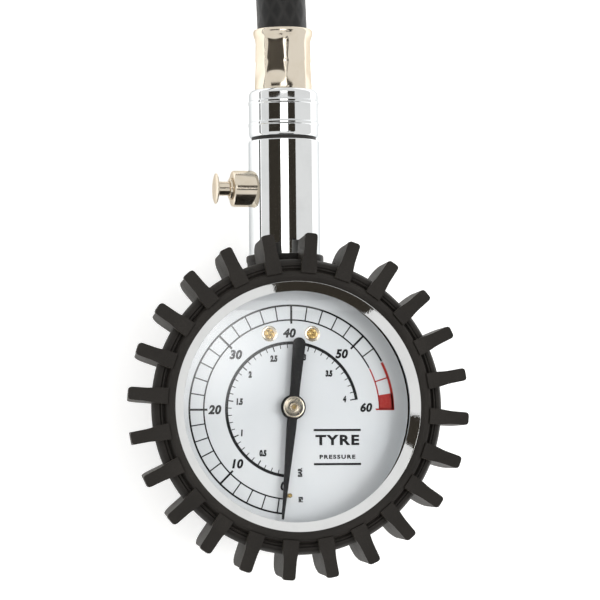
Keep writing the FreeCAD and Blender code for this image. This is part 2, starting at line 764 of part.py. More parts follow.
def movement_screws():
    """Screws through each plate into the pillars, and two through the back plate into the socket."""
    top = FRONT_PLATE_Z + PLATE_THICK
    low = BACK_PLATE_Z - PLATE_SCREW_HEAD
    screws = []
    for x, y in PILLARS:
        head = cylinder(PLATE_SCREW_HEAD_R, PLATE_SCREW_HEAD, V(x, y, top))
        shank = cylinder(PLATE_SCREW_R, FRONT_SCREW_LENGTH, V(x, y, top - FRONT_SCREW_LENGTH))
        screws.append(head.fuse(shank))
    for x, y in PILLARS + [(x, MOVEMENT_SCREW_Y) for x in MOVEMENT_SCREW_X]:
        head = cylinder(PLATE_SCREW_HEAD_R, PLATE_SCREW_HEAD, V(x, y, low))
        shank = cylinder(PLATE_SCREW_R, BACK_SCREW_LENGTH, V(x, y, low))
        screws.append(head.fuse(shank))
    return Part.makeCompound(screws)


def hairspring():
    """A flat spiral between the arbor's collet and a stud on the front plate."""
    inner_r = COLLET_R + HAIR
    per_turn = 24
    count = int(SPRING_TURNS * per_turn)
    inside = []
    outside = []
    for i in range(count + 1):
        degrees = 360.0 * i / per_turn
        radius = inner_r + SPRING_PITCH * i / per_turn
        inside.append(polar(radius, degrees))
        outside.append(polar(radius + SPRING_STRIP, degrees))
    points = inside + outside[::-1]
    strip = Part.Face(Part.makePolygon(points + points[:1])).extrude(V(0, 0, SPRING_HEIGHT))
    strip.translate(V(0, 0, SPRING_Z))
    return strip


def hairspring_stud():
    degrees = 360.0 * SPRING_TURNS
    radius = COLLET_R + HAIR + SPRING_PITCH * SPRING_TURNS + SPRING_STRIP + SPRING_STUD_R
    base = polar(radius, degrees, SPRING_Z)
    return cylinder(SPRING_STUD_R, FRONT_PLATE_Z - SPRING_Z, base)


# ---------------------------------------------------------------- Bourdon tube and socket

def slot_face(half_thick, half_height):
    """Flattened tube section in the XZ plane at the tube's radius."""
    straight = half_height - half_thick
    low = TUBE_Z - straight
    high = TUBE_Z + straight
    a = V(TUBE_R - half_thick, 0, low)
    b = V(TUBE_R + half_thick, 0, low)
    c = V(TUBE_R + half_thick, 0, high)
    d = V(TUBE_R - half_thick, 0, high)
    under = Part.Arc(a, V(TUBE_R, 0, low - half_thick), b).toShape()
    over = Part.Arc(c, V(TUBE_R, 0, high + half_thick), d).toShape()
    return Part.Face(Part.Wire([under, Part.makeLine(b, c), over, Part.makeLine(d, a)]))


def tube_sweep(half_thick, half_height, start_deg, sweep):
    """The section carried clockwise from start_deg."""
    face = slot_face(half_thick, half_height)
    face.rotate(ORIGIN, Z, start_deg)
    return face.revolve(ORIGIN, V(0, 0, -1), sweep)


def bourdon_tube():
    outer = tube_sweep(TUBE_HALF_THICK, TUBE_HALF_HEIGHT, TUBE_START_DEG, TUBE_SWEEP)
    hollow = tube_sweep(TUBE_HALF_THICK - TUBE_WALL, TUBE_HALF_HEIGHT - TUBE_WALL, TUBE_START_DEG, TUBE_SWEEP)
    return outer.cut(hollow)


def tube_tip():
    """Cap on the tube's free end, with the arm that reaches the link pin."""
    wall = 0.4
    inset = 0.6
    start = TUBE_START_DEG - TUBE_SWEEP - TIP_CAP_GAP
    cap = tube_sweep(TUBE_HALF_THICK + wall, TUBE_HALF_HEIGHT + TUBE_WALL, start, TIP_CAP_SWEEP)
    tip = rest_pins()[1]
    tip = V(tip.x, tip.y, 0)
    root = polar(TUBE_R - inset, start - TIP_CAP_SWEEP / 2)
    span = root - tip
    arm = Part.makeBox(span.Length, ARM_WIDTH, ARM_THICK, V(0, -ARM_WIDTH / 2, ARM_Z))
    arm.rotate(ORIGIN, Z, math.degrees(math.atan2(span.y, span.x)))
    arm.translate(tip)
    boss = cylinder(ARM_EYE_R, ARM_THICK, V(tip.x, tip.y, ARM_Z))
    return fused([cap, arm, boss]).cut(cylinder(LINK_PIN_R, ARM_THICK, V(tip.x, tip.y, ARM_Z)))


def socket_tools():
    """The airways, the tube's slot and the screw holes of the socket block."""
    shelf_z = BACK_PLATE_Z + PLATE_THICK
    screw_end_z = DIAL_Z - RECESS_DEPTH - DIAL_SCREW_LENGTH
    tools = [
        cylinder(AIRWAY_R, SHANK_TOP_Y - AIRWAY_Y, stem_point(AIRWAY_Y), Y),
        cylinder(TUBE_PORT_R, TUBE_PORT_LENGTH, V(0, AIRWAY_Y, TUBE_PORT_Z), X),
        tube_sweep(TUBE_HALF_THICK, TUBE_HALF_HEIGHT, TUBE_START_DEG, TUBE_SWEEP / 6),
    ]
    for centre in dial_screw_centres():
        tools.append(cylinder(DIAL_SCREW_R, DIAL_SCREW_LENGTH, centre + V(0, 0, screw_end_z)))
    for x in CASE_SCREW_X:
        tools.append(cylinder(CASE_SCREW_R, CASE_SCREW_HOLE, V(x, CASE_SCREW_Y, CASE_FLOOR_Z)))
    for x in MOVEMENT_SCREW_X:
        tools.append(cylinder(PLATE_SCREW_R, MOVEMENT_SCREW_HOLE, V(x, MOVEMENT_SCREW_Y, shelf_z)))
    return tools


def socket_block():
    """Brass block that the tube is soldered into; its shank screws into the stem."""
    width = 2 * SOCKET_HALF
    overlap = 1.0
    shelf_z = BACK_PLATE_Z + PLATE_THICK
    post_z = FRONT_PLATE_Z - overlap / 2
    body = Part.makeBox(width, SOCKET_FOOT_Y - SOCKET_INNER_Y, FRONT_PLATE_Z - shelf_z,
                        V(-SOCKET_HALF, SOCKET_INNER_Y, shelf_z))
    foot = Part.makeBox(width, SOCKET_OUTER_Y - SOCKET_FOOT_Y, SOCKET_TOP_Z - CASE_FLOOR_Z,
                        V(-SOCKET_HALF, SOCKET_FOOT_Y, CASE_FLOOR_Z))
    shank_y = SOCKET_OUTER_Y - overlap
    shank = cylinder(SHANK_R, SHANK_TOP_Y - shank_y, stem_point(shank_y), Y)
    posts = [cylinder(DIAL_POST_R, DIAL_Z - DIAL_THICK - post_z, centre + V(0, 0, post_z))
             for centre in dial_screw_centres()]
    return cut_all(fused([body, foot.common(case_room()), shank] + posts), socket_tools())


def socket_gasket():
    washer = ring(SOCKET_GASKET_R, SHANK_R, SOCKET_GASKET_THICK, stem_point(SOCKET_OUTER_Y), Y)
    return washer.common(case_room())


# ---------------------------------------------------------------- stem and valves

def stem():
    shank_end = 0.3
    solid = cylinder(STEM_R, STEM_TOP_Y - STEM_BOTTOM_Y, stem_point(STEM_BOTTOM_Y), Y)
    tools = [
        case_envelope(0),
        cylinder(SHANK_R, SHANK_TOP_Y + shank_end - STEM_BOTTOM_Y, stem_point(STEM_BOTTOM_Y), Y),
        cylinder(STEM_BORE_R, CHAMBER_Y - SHANK_TOP_Y, stem_point(SHANK_TOP_Y), Y),
        cylinder(CHAMBER_R, STEM_TOP_Y - CHAMBER_Y, stem_point(CHAMBER_Y), Y),
        cylinder(BLEED_SHANK_R, STEM_R - ROD_R - 0.2, bleed_point(-STEM_R), X),
    ]
    return cut_all(solid, tools)


def bleed_body():
    height = BLEED_ROOT_X - BLEED_FACE_X
    boss = turned([
        (0, 0), (BLEED_BOSS_R, 0), (BLEED_BOSS_R, height - BLEED_CHAMFER),
        (BLEED_BOSS_R - BLEED_CHAMFER, height), (0, height),
    ], bleed_point(BLEED_ROOT_X), -X)
    boss = boss.cut(cylinder(STEM_R, 4 * BLEED_BOSS_R, stem_point(BLEED_Y - 2 * BLEED_BOSS_R), Y))
    shank = cylinder(BLEED_SHANK_R, BLEED_INNER_X + STEM_R, bleed_point(-STEM_R), X)
    tools = [
        cylinder(PLUNGER_R + PIVOT_GAP, BLEED_GUIDE, bleed_point(BLEED_FACE_X), X),
        cylinder(BLEED_POCKET_R, BLEED_POCKET, bleed_point(BLEED_FACE_X + BLEED_GUIDE), X),
        cylinder(ROD_R + 0.2, 1.0, bleed_point(BLEED_INNER_X - 1.0), X),
    ]
    return cut_all(fused([boss, shank]), tools)


def bleed_gland():
    base = bleed_point(BLEED_FACE_X - BLEED_GLAND_THICK)
    return ring(BLEED_GLAND_R, PLUNGER_R + PIVOT_GAP, BLEED_GLAND_THICK, base, X)


def bleed_button():
    """Button, plunger and rod in one turned piece, along +X from the button's inner face."""
    shoulder = PLUNGER_END_X - BUTTON_X
    head_at = BLEED_INNER_X - BUTTON_X + BLEED_HEAD_GAP
    end = head_at + BLEED_HEAD_THICK
    return turned([
        (0, -BUTTON_THICK), (BUTTON_R - 0.9, -BUTTON_THICK), (BUTTON_R - 0.1, -0.7 * BUTTON_THICK),
        (BUTTON_R, -BUTTON_THICK / 3), (BUTTON_R - 0.1, 0), (PLUNGER_R, 0), (PLUNGER_R, shoulder),
        (ROD_R, shoulder), (ROD_R, head_at), (BLEED_HEAD_R, head_at), (BLEED_HEAD_R, end), (0, end),
    ], bleed_point(BUTTON_X), X)


def bleed_seal():
    base = bleed_point(BLEED_INNER_X + BLEED_HEAD_GAP - BLEED_SEAL_THICK)
    return ring(BLEED_HEAD_R, ROD_R, BLEED_SEAL_THICK, base, X)


def coil_spring(mean_r, wire_r, length, turns, base, axis):
    """A round wire carried up a helix of short straight steps with mitred corners."""
    steps = int(turns * SPRING_STEPS)
    points = [polar(mean_r, 360.0 / SPRING_STEPS * i, length * i / steps) for i in range(steps + 1)]
    heading = (points[1] - points[0]).normalize()
    section = Part.Wire([Part.makeCircle(wire_r, points[0], heading)])
    mitred = 1
    solid = Part.makePolygon(points).makePipeShell([section], True, False, mitred)
    solid.Placement = FreeCAD.Placement(base, FreeCAD.Rotation(Z, axis))
    return solid


def bleed_spring():
    start = PLUNGER_END_X + BLEED_WIRE_R + HAIR
    end = BLEED_INNER_X - 1.0 - BLEED_WIRE_R - HAIR
    return coil_spring(BLEED_COIL_R, BLEED_WIRE_R, end - start, BLEED_COILS, bleed_point(start), X)


def check_poppet():
    """Poppet that the hose's air pushes down off the seat at the hose tail's end."""
    return turned(POPPET_OUTLINE, stem_point(CHAMBER_Y), Y)


def check_spring():
    start = CHECK_WIRE_R + HAIR
    return coil_spring(CHECK_COIL_R, CHECK_WIRE_R, POPPET_FLANGE - 2 * start, CHECK_COILS,
                       stem_point(CHAMBER_Y + start), Y)


def hose_tail():
    """Brass nipple: spigot in the stem, plain shank under the collar, barb in the hose."""
    spigot_start = CHAMBER_Y + TAIL_SPIGOT
    barb_start = FERRULE_Y + BARB_START
    barb_end = barb_start + BARB_LENGTH
    lead = 1.2
    profile = [
        (TAIL_BORE_R, spigot_start), (TAIL_NOSE_R, spigot_start), (CHAMBER_R, spigot_start + TAIL_LEAD),
        (CHAMBER_R, STEM_TOP_Y), (TAIL_SHANK_R, STEM_TOP_Y), (TAIL_SHANK_R, FERRULE_Y), (HOSE_R, FERRULE_Y),
        (HOSE_R, barb_start), (BARB_ROOT_R, barb_start),
    ]
    step = (BARB_LENGTH - lead - HAIR) / BARB_RIDGES
    for i in range(BARB_RIDGES):
        low = barb_start + lead + step * i
        profile += [(BARB_ROOT_R, low), (HOSE_BORE_R, low + 0.1), (BARB_ROOT_R, low + step * 0.9)]
    profile += [(BARB_TIP_R, barb_end), (TAIL_BORE_R, barb_end)]
    return turned(profile, stem_point(0), Y)


def swivel_washer():
    thick = COLLAR_BOTTOM_Y - PIVOT_GAP - STEM_TOP_Y
    return ring(WASHER_R, TAIL_SHANK_R, thick, stem_point(STEM_TOP_Y), Y)


def collar():
    bore_r = TAIL_SHANK_R + PIVOT_GAP
    return turned([(bore_r, COLLAR_BOTTOM_Y), *COLLAR_OUTLINE, (bore_r, COLLAR_TOP_Y)], stem_point(0), Y)


# ---------------------------------------------------------------- hose

def ferrule(base, axis):
    """Crimped sleeve: round flared ends and eight crimped flats between them."""
    edge = 0.4
    flare = 1.2
    sleeve = turned([
        (HOSE_R, 0), (FERRULE_MOUTH_R, 0), (FERRULE_R, edge), (FERRULE_R, FERRULE_LENGTH - flare),
        (FERRULE_R + FERRULE_SOFT, FERRULE_LENGTH - flare / 4), (FERRULE_R - FERRULE_SOFT, FERRULE_LENGTH),
        (HOSE_R, FERRULE_LENGTH),
    ], base, axis)
    corner_r = FERRULE_FLAT_R / math.cos(math.pi / 8)
    crimp_base = base + axis * CRIMP_START
    length = CRIMP_END - CRIMP_START
    keep = prism(8, corner_r, length, crimp_base, axis, FERRULE_EDGE_DEG)
    trim = cylinder(2 * FERRULE_R, length, crimp_base, axis).cut(keep)
    return sleeve.cut(trim)


def route_arcs():
    """Radius, start and end of the arc at each inner point of the hose's route."""
    points = [V(*p) for p in HOSE_ROUTE]
    arcs = []
    for before, corner, after in zip(points, points[1:], points[2:]):
        inward = (corner - before).normalize()
        outward = (after - corner).normalize()
        half_turn = inward.getAngle(outward) / 2
        cut_back = ARC_SHARE * min((corner - before).Length, (after - corner).Length)
        radius = cut_back / math.tan(half_turn)
        start = corner - inward * cut_back
        end = corner + outward * cut_back
        to_centre = (outward - inward).normalize()
        middle = corner + to_centre * (radius / math.cos(half_turn) - radius)
        arcs.append((radius, start, middle, end, 2 * half_turn * radius))
    return points, arcs


def hose():
    points, arcs = route_arcs()
    edges = []
    at = points[0]
    length = 0.0
    for radius, start, middle, end, arc_length in arcs:
        edges.append(Part.LineSegment(at, start).toShape())
        edges.append(Part.Arc(start, middle, end).toShape())
        length += (start - at).Length + arc_length
        at = end
    edges.append(Part.LineSegment(at, points[-1]).toShape())
    length += (points[-1] - at).Length
    path = Part.Wire(edges)
    heading = (points[1] - points[0]).normalize()
    tube = path.makePipeShell([Part.Wire([Part.makeCircle(HOSE_R, points[0], heading)])], True, True)
    print("hose radii", [round(arc[0], 1) for arc in arcs], "length", round(length, 1))
    print("hose volume over section times length", round(tube.Volume / (math.pi * HOSE_R ** 2 * length), 4))
    last = (points[-1] - points[-2]).normalize()
    tools = [
        cylinder(HOSE_BORE_R, HOSE_POCKET, points[0], heading),
        cylinder(HOSE_BORE_R, HOSE_POCKET, points[-1], last * -1),
    ]
    return cut_all(tube, tools)


# ---------------------------------------------------------------- chuck

def chuck_ferrule():
    return ferrule(chuck_point(nut_top_y()), Y)


def chuck_tail():
    """Barb in the hose, flange, and the shank that the chuck turns on."""
    flange_end = BARB_LENGTH + BARB_START
    shank_end = BARB_LENGTH + TAIL_OUT
    lead = 0.9
    profile = [(CHUCK_TAIL_BORE_R, 0), (BARB_TIP_R, 0)]
    for i in range(BARB_RIDGES):
        low = lead + BARB_STEP * i
        top = low + 0.84 * BARB_STEP
        profile += [(BARB_ROOT_R, low), (HOSE_BORE_R, top), (BARB_ROOT_R, top + 0.1)]
    profile += [
        (BARB_ROOT_R, BARB_LENGTH), (HOSE_R, BARB_LENGTH), (HOSE_R, flange_end), (CHUCK_SHANK_R, flange_end),
        (CHUCK_SHANK_R, shank_end), (CHUCK_TAIL_BORE_R, shank_end),
    ]
    return turned(profile, chuck_point(HOSE_ROUTE[-1][1] + BARB_LENGTH), -Y)


def chuck_nut():
    flat_r = NUT_FLATS / 2
    corner_r = flat_r / math.cos(math.pi / 6)
    base = chuck_point(nut_top_y() - NUT_LENGTH)
    blank = prism(6, corner_r, NUT_LENGTH, base, Y, 30.0)
    rounded = turned([
        (0, 0), (flat_r, 0), (corner_r, NUT_CHAMFER), (corner_r, NUT_LENGTH - NUT_CHAMFER),
        (flat_r, NUT_LENGTH), (0, NUT_LENGTH),
    ], base, Y)
    return blank.common(rounded).cut(cylinder(CHUCK_SHANK_R, NUT_LENGTH, base, Y))


def chuck_body():
    """Elbow that turns on the tail's shank; its nose carries the knurled cap."""
    top = chuck_point(chuck_top_y())
    leg = turned([
        (0, 0), (CHUCK_R - CHUCK_EDGE, 0), (CHUCK_R, CHUCK_EDGE), (CHUCK_R, CHUCK_LEG), (0, CHUCK_LEG),
    ], top, -Y)
    knee = Part.makeSphere(CHUCK_R, elbow_point())
    head = cylinder(CHUCK_R, CAP_START - CHUCK_GAP, elbow_point(), head_axis())
    nose = cylinder(CHUCK_NOSE_R, NOSE_END - CAP_START + 1.0, head_point(CAP_START - 1.0), head_axis())
    tools = [
        cylinder(CHUCK_SHANK_R + PIVOT_GAP, SHANK_POCKET, top, -Y),
        cylinder(TAIL_BORE_R, CHUCK_LEG, top, -Y),
        cylinder(TAIL_BORE_R, NOSE_END, elbow_point(), head_axis()),
        cylinder(DEPRESSOR_R, DEPRESSOR_DEPTH, head_point(NOSE_END - DEPRESSOR_DEPTH), head_axis()),
    ]
    return cut_all(fused([leg, knee, head, nose]), tools)


def chuck_cap():
    """Knurled cap that holds the seal on the nose and forms the valve socket."""
    axis = head_axis()
    start = CAP_START
    mouth = SOCKET_START + SOCKET_LENGTH
    length = mouth + SOCKET_CHAMFER - start
    back_edge = 0.6
    mouth_edge = 0.8
    corners = []
    for i in range(2 * CAP_RIDGES):
        radius = CAP_R if i % 2 == 0 else CAP_R - CAP_RIDGE_DEPTH
        corners.append(polar(radius, 180.0 / CAP_RIDGES * i))
    grip = Part.Face(Part.makePolygon(corners + corners[:1])).extrude(V(0, 0, length))
    grip.Placement = FreeCAD.Placement(head_point(start), FreeCAD.Rotation(Z, axis))
    rounded = turned([
        (0, 0), (CAP_BACK_R, 0), (CAP_R, back_edge), (CAP_R, length - mouth_edge),
        (CAP_MOUTH_R, length), (0, length),
    ], head_point(start), axis)
    tools = [
        cylinder(CHUCK_NOSE_R, SOCKET_START - start, head_point(start), axis),
        cylinder(SOCKET_R, SOCKET_LENGTH, head_point(SOCKET_START), axis),
        turned([(0, 0), (SOCKET_R, 0), (SOCKET_R + SOCKET_CHAMFER, SOCKET_CHAMFER), (0, SOCKET_CHAMFER)],
               head_point(mouth), axis),
    ]
    return cut_all(grip.common(rounded), tools)


def chuck_seal():
    return ring(CHUCK_NOSE_R, SEAL_BORE_R, SEAL_THICK, head_point(NOSE_END), head_axis())


def depressor():
    """Spider disc with the pin that opens the tyre valve's core."""
    base = head_point(NOSE_END - DEPRESSOR_DEPTH)
    reach = SOCKET_START - CHUCK_GAP - NOSE_END + DEPRESSOR_DEPTH
    disc = cylinder(DEPRESSOR_R, DEPRESSOR_THICK)
    holes = [cylinder(DEPRESSOR_HOLE_R, DEPRESSOR_THICK, polar(DEPRESSOR_HOLE_PCR, 120.0 * i))
             for i in range(3)]
    shape = cut_all(disc, holes).fuse(cylinder(DEPRESSOR_PIN_R, reach))
    shape.Placement = FreeCAD.Placement(base, FreeCAD.Rotation(Z, head_axis()))
    return shape


def build():
    os.makedirs("parts", exist_ok=True)
    save("boot", boot())
    save("case", case())
    save("relief_plug", relief_plug())
    save("case_screws", case_screws())
    save("bezel", bezel())
    save("lens_gasket", lens_gasket())
    save("lens", lens())
    save("dial_plate", dial_plate())
    save("dial_screws", dial_screws())
    save("stop_pin", stop_pin())
    save("pointer", pointer())
    save("pointer_bush", pointer_bush())
    save("pinion_arbor", pinion_arbor())
    save("sector_gear", sector_gear())
    save("sector_arbor", sector_arbor())
    save("tail_pin", tail_pin())
    save("tip_pin", tip_pin())
    save("tip_link", tip_link())
    save("tube_tip", tube_tip())
    save("bourdon_tube", bourdon_tube())
    save("movement_back_plate", movement_back_plate())
    save("movement_front_plate", movement_front_plate())
    save("movement_pillars", movement_pillars())
    save("movement_screws", movement_screws())
    save("hairspring", hairspring())
    save("hairspring_stud", hairspring_stud())
    save("socket_block", socket_block())
    save("socket_gasket", socket_gasket())
    save("stem", stem())
    save("bleed_body", bleed_body())
    save("bleed_gland", bleed_gland())
    save("bleed_button", bleed_button())
    save("bleed_seal", bleed_seal())
    save("bleed_spring", bleed_spring())
    save("check_poppet", check_poppet())
    save("check_spring", check_spring())
    save("hose_tail", hose_tail())
    save("swivel_washer", swivel_washer())
    save("collar", collar())
    save("gauge_ferrule", ferrule(stem_point(FERRULE_Y), Y))
    save("hose", hose())
    save("chuck_ferrule", chuck_ferrule())
    save("chuck_tail", chuck_tail())
    save("chuck_nut", chuck_nut())
    save("chuck_body", chuck_body())
    save("chuck_cap", chuck_cap())
    save("chuck_seal", chuck_seal())
    save("depressor", depressor())
    pivot, tip, tail = rest_pins()
    print("sector pivot", pivot, "tip pin", tip, "tail pin", tail, "tube centre", tube_centre())
    print("socket mouth", head_point(SOCKET_START + SOCKET_LENGTH), "socket floor", head_point(SOCKET_START))
    print("head axis", head_axis(), "elbow", elbow_point())


build()
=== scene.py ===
"""Looks of the dial tyre pressure gauge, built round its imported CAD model.

Shapes are written in millimetres in the CAD's frame, and metre_mesh() turns them into metres.
"""
import json
import math

import bmesh
import bpy
from mathutils import Matrix, Vector


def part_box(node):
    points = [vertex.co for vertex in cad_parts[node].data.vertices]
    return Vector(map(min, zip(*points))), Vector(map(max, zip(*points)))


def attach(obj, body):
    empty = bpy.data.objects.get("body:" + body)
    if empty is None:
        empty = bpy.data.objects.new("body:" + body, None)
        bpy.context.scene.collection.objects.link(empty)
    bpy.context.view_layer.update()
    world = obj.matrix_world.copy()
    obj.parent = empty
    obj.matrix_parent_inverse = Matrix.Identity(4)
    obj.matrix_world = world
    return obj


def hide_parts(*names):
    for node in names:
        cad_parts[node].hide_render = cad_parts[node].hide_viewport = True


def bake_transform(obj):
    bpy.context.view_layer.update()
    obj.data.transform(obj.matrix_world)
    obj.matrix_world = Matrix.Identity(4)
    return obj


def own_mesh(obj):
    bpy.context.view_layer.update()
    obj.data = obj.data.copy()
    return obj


MM = 0.001
X = Vector((1, 0, 0))
Y = Vector((0, 1, 0))
Z = Vector((0, 0, 1))
STEPS = 160

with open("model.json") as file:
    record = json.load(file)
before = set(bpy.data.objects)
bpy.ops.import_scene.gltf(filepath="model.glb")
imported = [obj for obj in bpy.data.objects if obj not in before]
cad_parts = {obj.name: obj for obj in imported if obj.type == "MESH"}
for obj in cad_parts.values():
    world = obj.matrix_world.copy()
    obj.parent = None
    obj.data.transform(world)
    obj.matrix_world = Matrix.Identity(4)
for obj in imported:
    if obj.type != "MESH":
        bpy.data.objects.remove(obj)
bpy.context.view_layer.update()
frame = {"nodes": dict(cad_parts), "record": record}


def reach(node):
    """The lowest and highest corner of a CAD node, in millimetres."""
    low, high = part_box(node)
    return low / MM, high / MM


# ---- places read from the frame
BEZEL_LOW, BEZEL_HIGH = reach("bezel")
CASE_LOW, CASE_HIGH = reach("case")
STEM_HIGH = reach("stem")[1]
COLLAR_LOW, COLLAR_HIGH = reach("collar")
FERRULE_LOW = reach("gauge_ferrule")[0]
BUTTON_LOW, BUTTON_HIGH = reach("bleed_button")
BUSH_LOW, BUSH_HIGH = reach("pointer_bush")
BODY_LOW, BODY_HIGH = reach("bleed_body")
CHUCK_FERRULE_LOW, CHUCK_FERRULE_HIGH = reach("chuck_ferrule")
NUT_LOW, NUT_HIGH = reach("chuck_nut")

FACE_Z = reach("boot")[1].z
BEZEL_R = BEZEL_HIGH.x
BEZEL_Z = BEZEL_HIGH.z
CASE_STEP_Z = BEZEL_LOW.z
DIAL_Z = reach("dial_plate")[1].z
LENS_TOP_Z = reach("lens")[1].z
STEM_R = STEM_HIGH.x
STEM_TOP_Y = STEM_HIGH.y
STEM_Z = (COLLAR_LOW.z + COLLAR_HIGH.z) / 2
BLEED_Y = (BUTTON_LOW.y + BUTTON_HIGH.y) / 2
CHUCK_Z = (CHUCK_FERRULE_LOW.z + CHUCK_FERRULE_HIGH.z) / 2
CHUCK_X = (CHUCK_FERRULE_LOW.x + CHUCK_FERRULE_HIGH.x) / 2

# ---- stem and bleed valve
STEM_FOOT_Y = 26.6
STEM_BORE_R = 2.2
CHAMBER_R = 4.2
CHAMBER_Y = 47.5
PLUNGER_R = 1.45
ROD_R = 0.8
SEAL_HEAD_R = 1.7
BLEED_BORE_R = 2.8
BLEED_WIRE_R = 0.18
BLEED_COILS = 4.0
CHECK_WIRE_R = 0.16
CHECK_COILS = 1.5

# ---- boot
BOOT_R = 29.8
BOOT_BACK_R = 24.4
BOOT_HOLE_R = 21.7
SHOULDER_Z = 26.0
LIP_R = 25.1
LUG_COUNT = 24
LUG_FIRST_DEG = 85.6
LUG_TIP_R = 34.8
LUG_BACK_Z = 18.0

# ---- hose: the route that the CAD tube follows, in metres
HOSE_R = 5.1
HOSE_ROUTE_M = [
    (0.0, 0.0652, 0.0145),
    (0.0, 0.0922, 0.0145),
    (-0.0028, 0.1198, 0.0051),
    (-0.0180, 0.1462, 0.0051),
    (-0.0443, 0.1614, 0.0051),
    (-0.0747, 0.1615, 0.0051),
    (-0.1010, 0.1462, 0.0051),
    (-0.1162, 0.1199, 0.0051),
    (-0.1186, 0.0910, 0.0051),
    (-0.1171, 0.0655, 0.0052),
    (-0.1176, 0.0415, 0.0074),
    (-0.1176, 0.0180, 0.0074),
]

# ---- crimped ferrules
FERRULE_LENGTH = 13.0
CRIMP_EDGE_DEG = -5.3
CRIMP_FLATS = 8
CRIMP_FLAT_R = 5.42
CRIMP_SOFTNESS = 0.035

# ---- chuck
NUT_FLAT_R = 6.0
NUT_TO_ELBOW = 11.1
ELBOW_TO_GRIP = 7.6
KNURLS = 30
KNURL_DEPTH = 0.3

# ---- pressure tube
TUBE_R = 19.5
TUBE_HALF_THICK = 1.2
TUBE_START_DEG = 76.0
TUBE_SWEEP_DEG = 264.0

# ---- dial print
PRINT_CENTRE = Vector((0.1, -0.4, 0))
PSI_OUTER_R = 21.1
PSI_INNER_R = 18.15
BAR_R = 13.5
SCALE_START_DEG = 264.0
NO_PRESSURE_DEG = 270.0
DEG_PER_PSI = 4.5
PSI_PER_BAR = 14.504
RED_FROM_PSI = 54
FULL_PSI = 60
FULL_BAR = 4
PRINT_LOW = DIAL_Z - 0.01
PRINT_TOP = DIAL_Z + 0.02
DIAL_SCREW_R = 1.2

# ---- camera
CAMERA_AIM = Vector((2.05, 21.85, 19.3))
CAMERA_YAW = 12.0
CAMERA_PITCH = 4.0
CAMERA_ROLL = -0.57
CAMERA_DISTANCE = 650.0
CAMERA_LENS = 192.1

# ---- studio: each lamp's name, place, size and power
LAMPS = [("key", (470, 20, 680), 600, 4.0), ("fill", (-560, 160, 600), 700, 2.0)]
FLOOR_HALF = 1500
FLOOR_Z = -0.05


# ---------------------------------------------------------------- meshes

def rounded(corners, segments=4):
    """An outline from (radius, along, reach) corners, each rounded over its reach to either side."""
    outline = []
    for i, (radius, along, span) in enumerate(corners):
        here = Vector((radius, along))
        if span == 0:
            outline.append(here)
            continue
        before = Vector(corners[i - 1][:2])
        after = Vector(corners[(i + 1) % len(corners)][:2])
        start = here + (before - here).normalized() * span
        end = here + (after - here).normalized() * span
        for k in range(segments + 1):
            t = k / segments
            outline.append(start * (1 - t) ** 2 + here * 2 * t * (1 - t) + end * t ** 2)
    return outline


def lathe(outline, closed=True, steps=STEPS, shape=None):
    """Points and faces of an outline of (radius, along) points spun about Z. shape changes the radius."""
    points = []
    rows = []
    for radius, along in outline:
        if radius == 0:
            rows.append([len(points)] * steps)
            points.append(Vector((0, 0, along)))
            continue
        rows.append(range(len(points), len(points) + steps))
        for j in range(steps):
            angle = 2 * math.pi * j / steps
            r = shape(radius, along, angle) if shape else radius
            points.append(Vector((r * math.cos(angle), r * math.sin(angle), along)))
    pairs = list(zip(rows, rows[1:]))
    if closed:
        pairs.append((rows[-1], rows[0]))
    faces = []
    for low, high in pairs:
        for j in range(steps):
            k = (j + 1) % steps
            face = list(dict.fromkeys((low[j], low[k], high[k], high[j])))
            if len(face) > 2:
                faces.append(face)
    return points, faces


def set_at(shape, base=Vector(), axis=Z):
    """The shape with its Z turned to axis and its origin moved to base."""
    turn = Z.rotation_difference(Vector(axis)).to_matrix()
    points, faces = shape
    return [turn @ p + Vector(base) for p in points], faces


def joined(shapes):
    """Several shapes as one."""
    points = []
    faces = []
    for more_points, more_faces in shapes:
        start = len(points)
        points += more_points
        faces += [[start + i for i in face] for face in more_faces]
    return points, faces


def prism(outline, low, high):
    """Points and faces of a flat outline of (x, y) points raised from low to high."""
    count = len(outline)
    points = [Vector((x, y, low)) for x, y in outline] + [Vector((x, y, high)) for x, y in outline]
    faces = [list(range(count))[::-1], list(range(count, 2 * count))]
    faces += [[i, (i + 1) % count, count + (i + 1) % count, count + i] for i in range(count)]
    return points, faces


def bevelled(shape, width, segments=3, angle=30):
    """The shape with its edges sharper than angle rounded."""
    mesh = bpy.data.meshes.new("work")
    mesh.from_pydata(shape[0], [], shape[1])
    work = bmesh.new()
    work.from_mesh(mesh)
    bmesh.ops.recalc_face_normals(work, faces=work.faces)
    sharp = [e for e in work.edges if e.calc_face_angle(0) > math.radians(angle)]
    bmesh.ops.bevel(work, geom=sharp, offset=width, segments=segments, profile=0.5, affect="EDGES",
                    clamp_overlap=True)
    work.verts.index_update()
    result = ([v.co.copy() for v in work.verts], [[v.index for v in f.verts] for f in work.faces])
    work.free()
    bpy.data.meshes.remove(mesh)
    return result


def placed(name, data):
    """A new object in the scene."""
    made = bpy.data.objects.new(name, data)
    bpy.context.scene.collection.objects.link(made)
    return made


def metre_mesh(name, points, faces):
    """A Blender mesh from points in millimetres."""
    mesh = bpy.data.meshes.new(name)
    mesh.from_pydata([p * MM for p in points], [], faces)
    return mesh


def smoothed(mesh, crease):
    """The mesh with its faces turned outwards, and shaded smooth except at edges sharper than crease."""
    work = bmesh.new()
    work.from_mesh(mesh)
    bmesh.ops.recalc_face_normals(work, faces=work.faces)
    work.to_mesh(mesh)
    work.free()
    mesh.polygons.foreach_set("use_smooth", [True] * len(mesh.polygons))
    mesh.set_sharp_from_angle(angle=math.radians(crease))
    return mesh


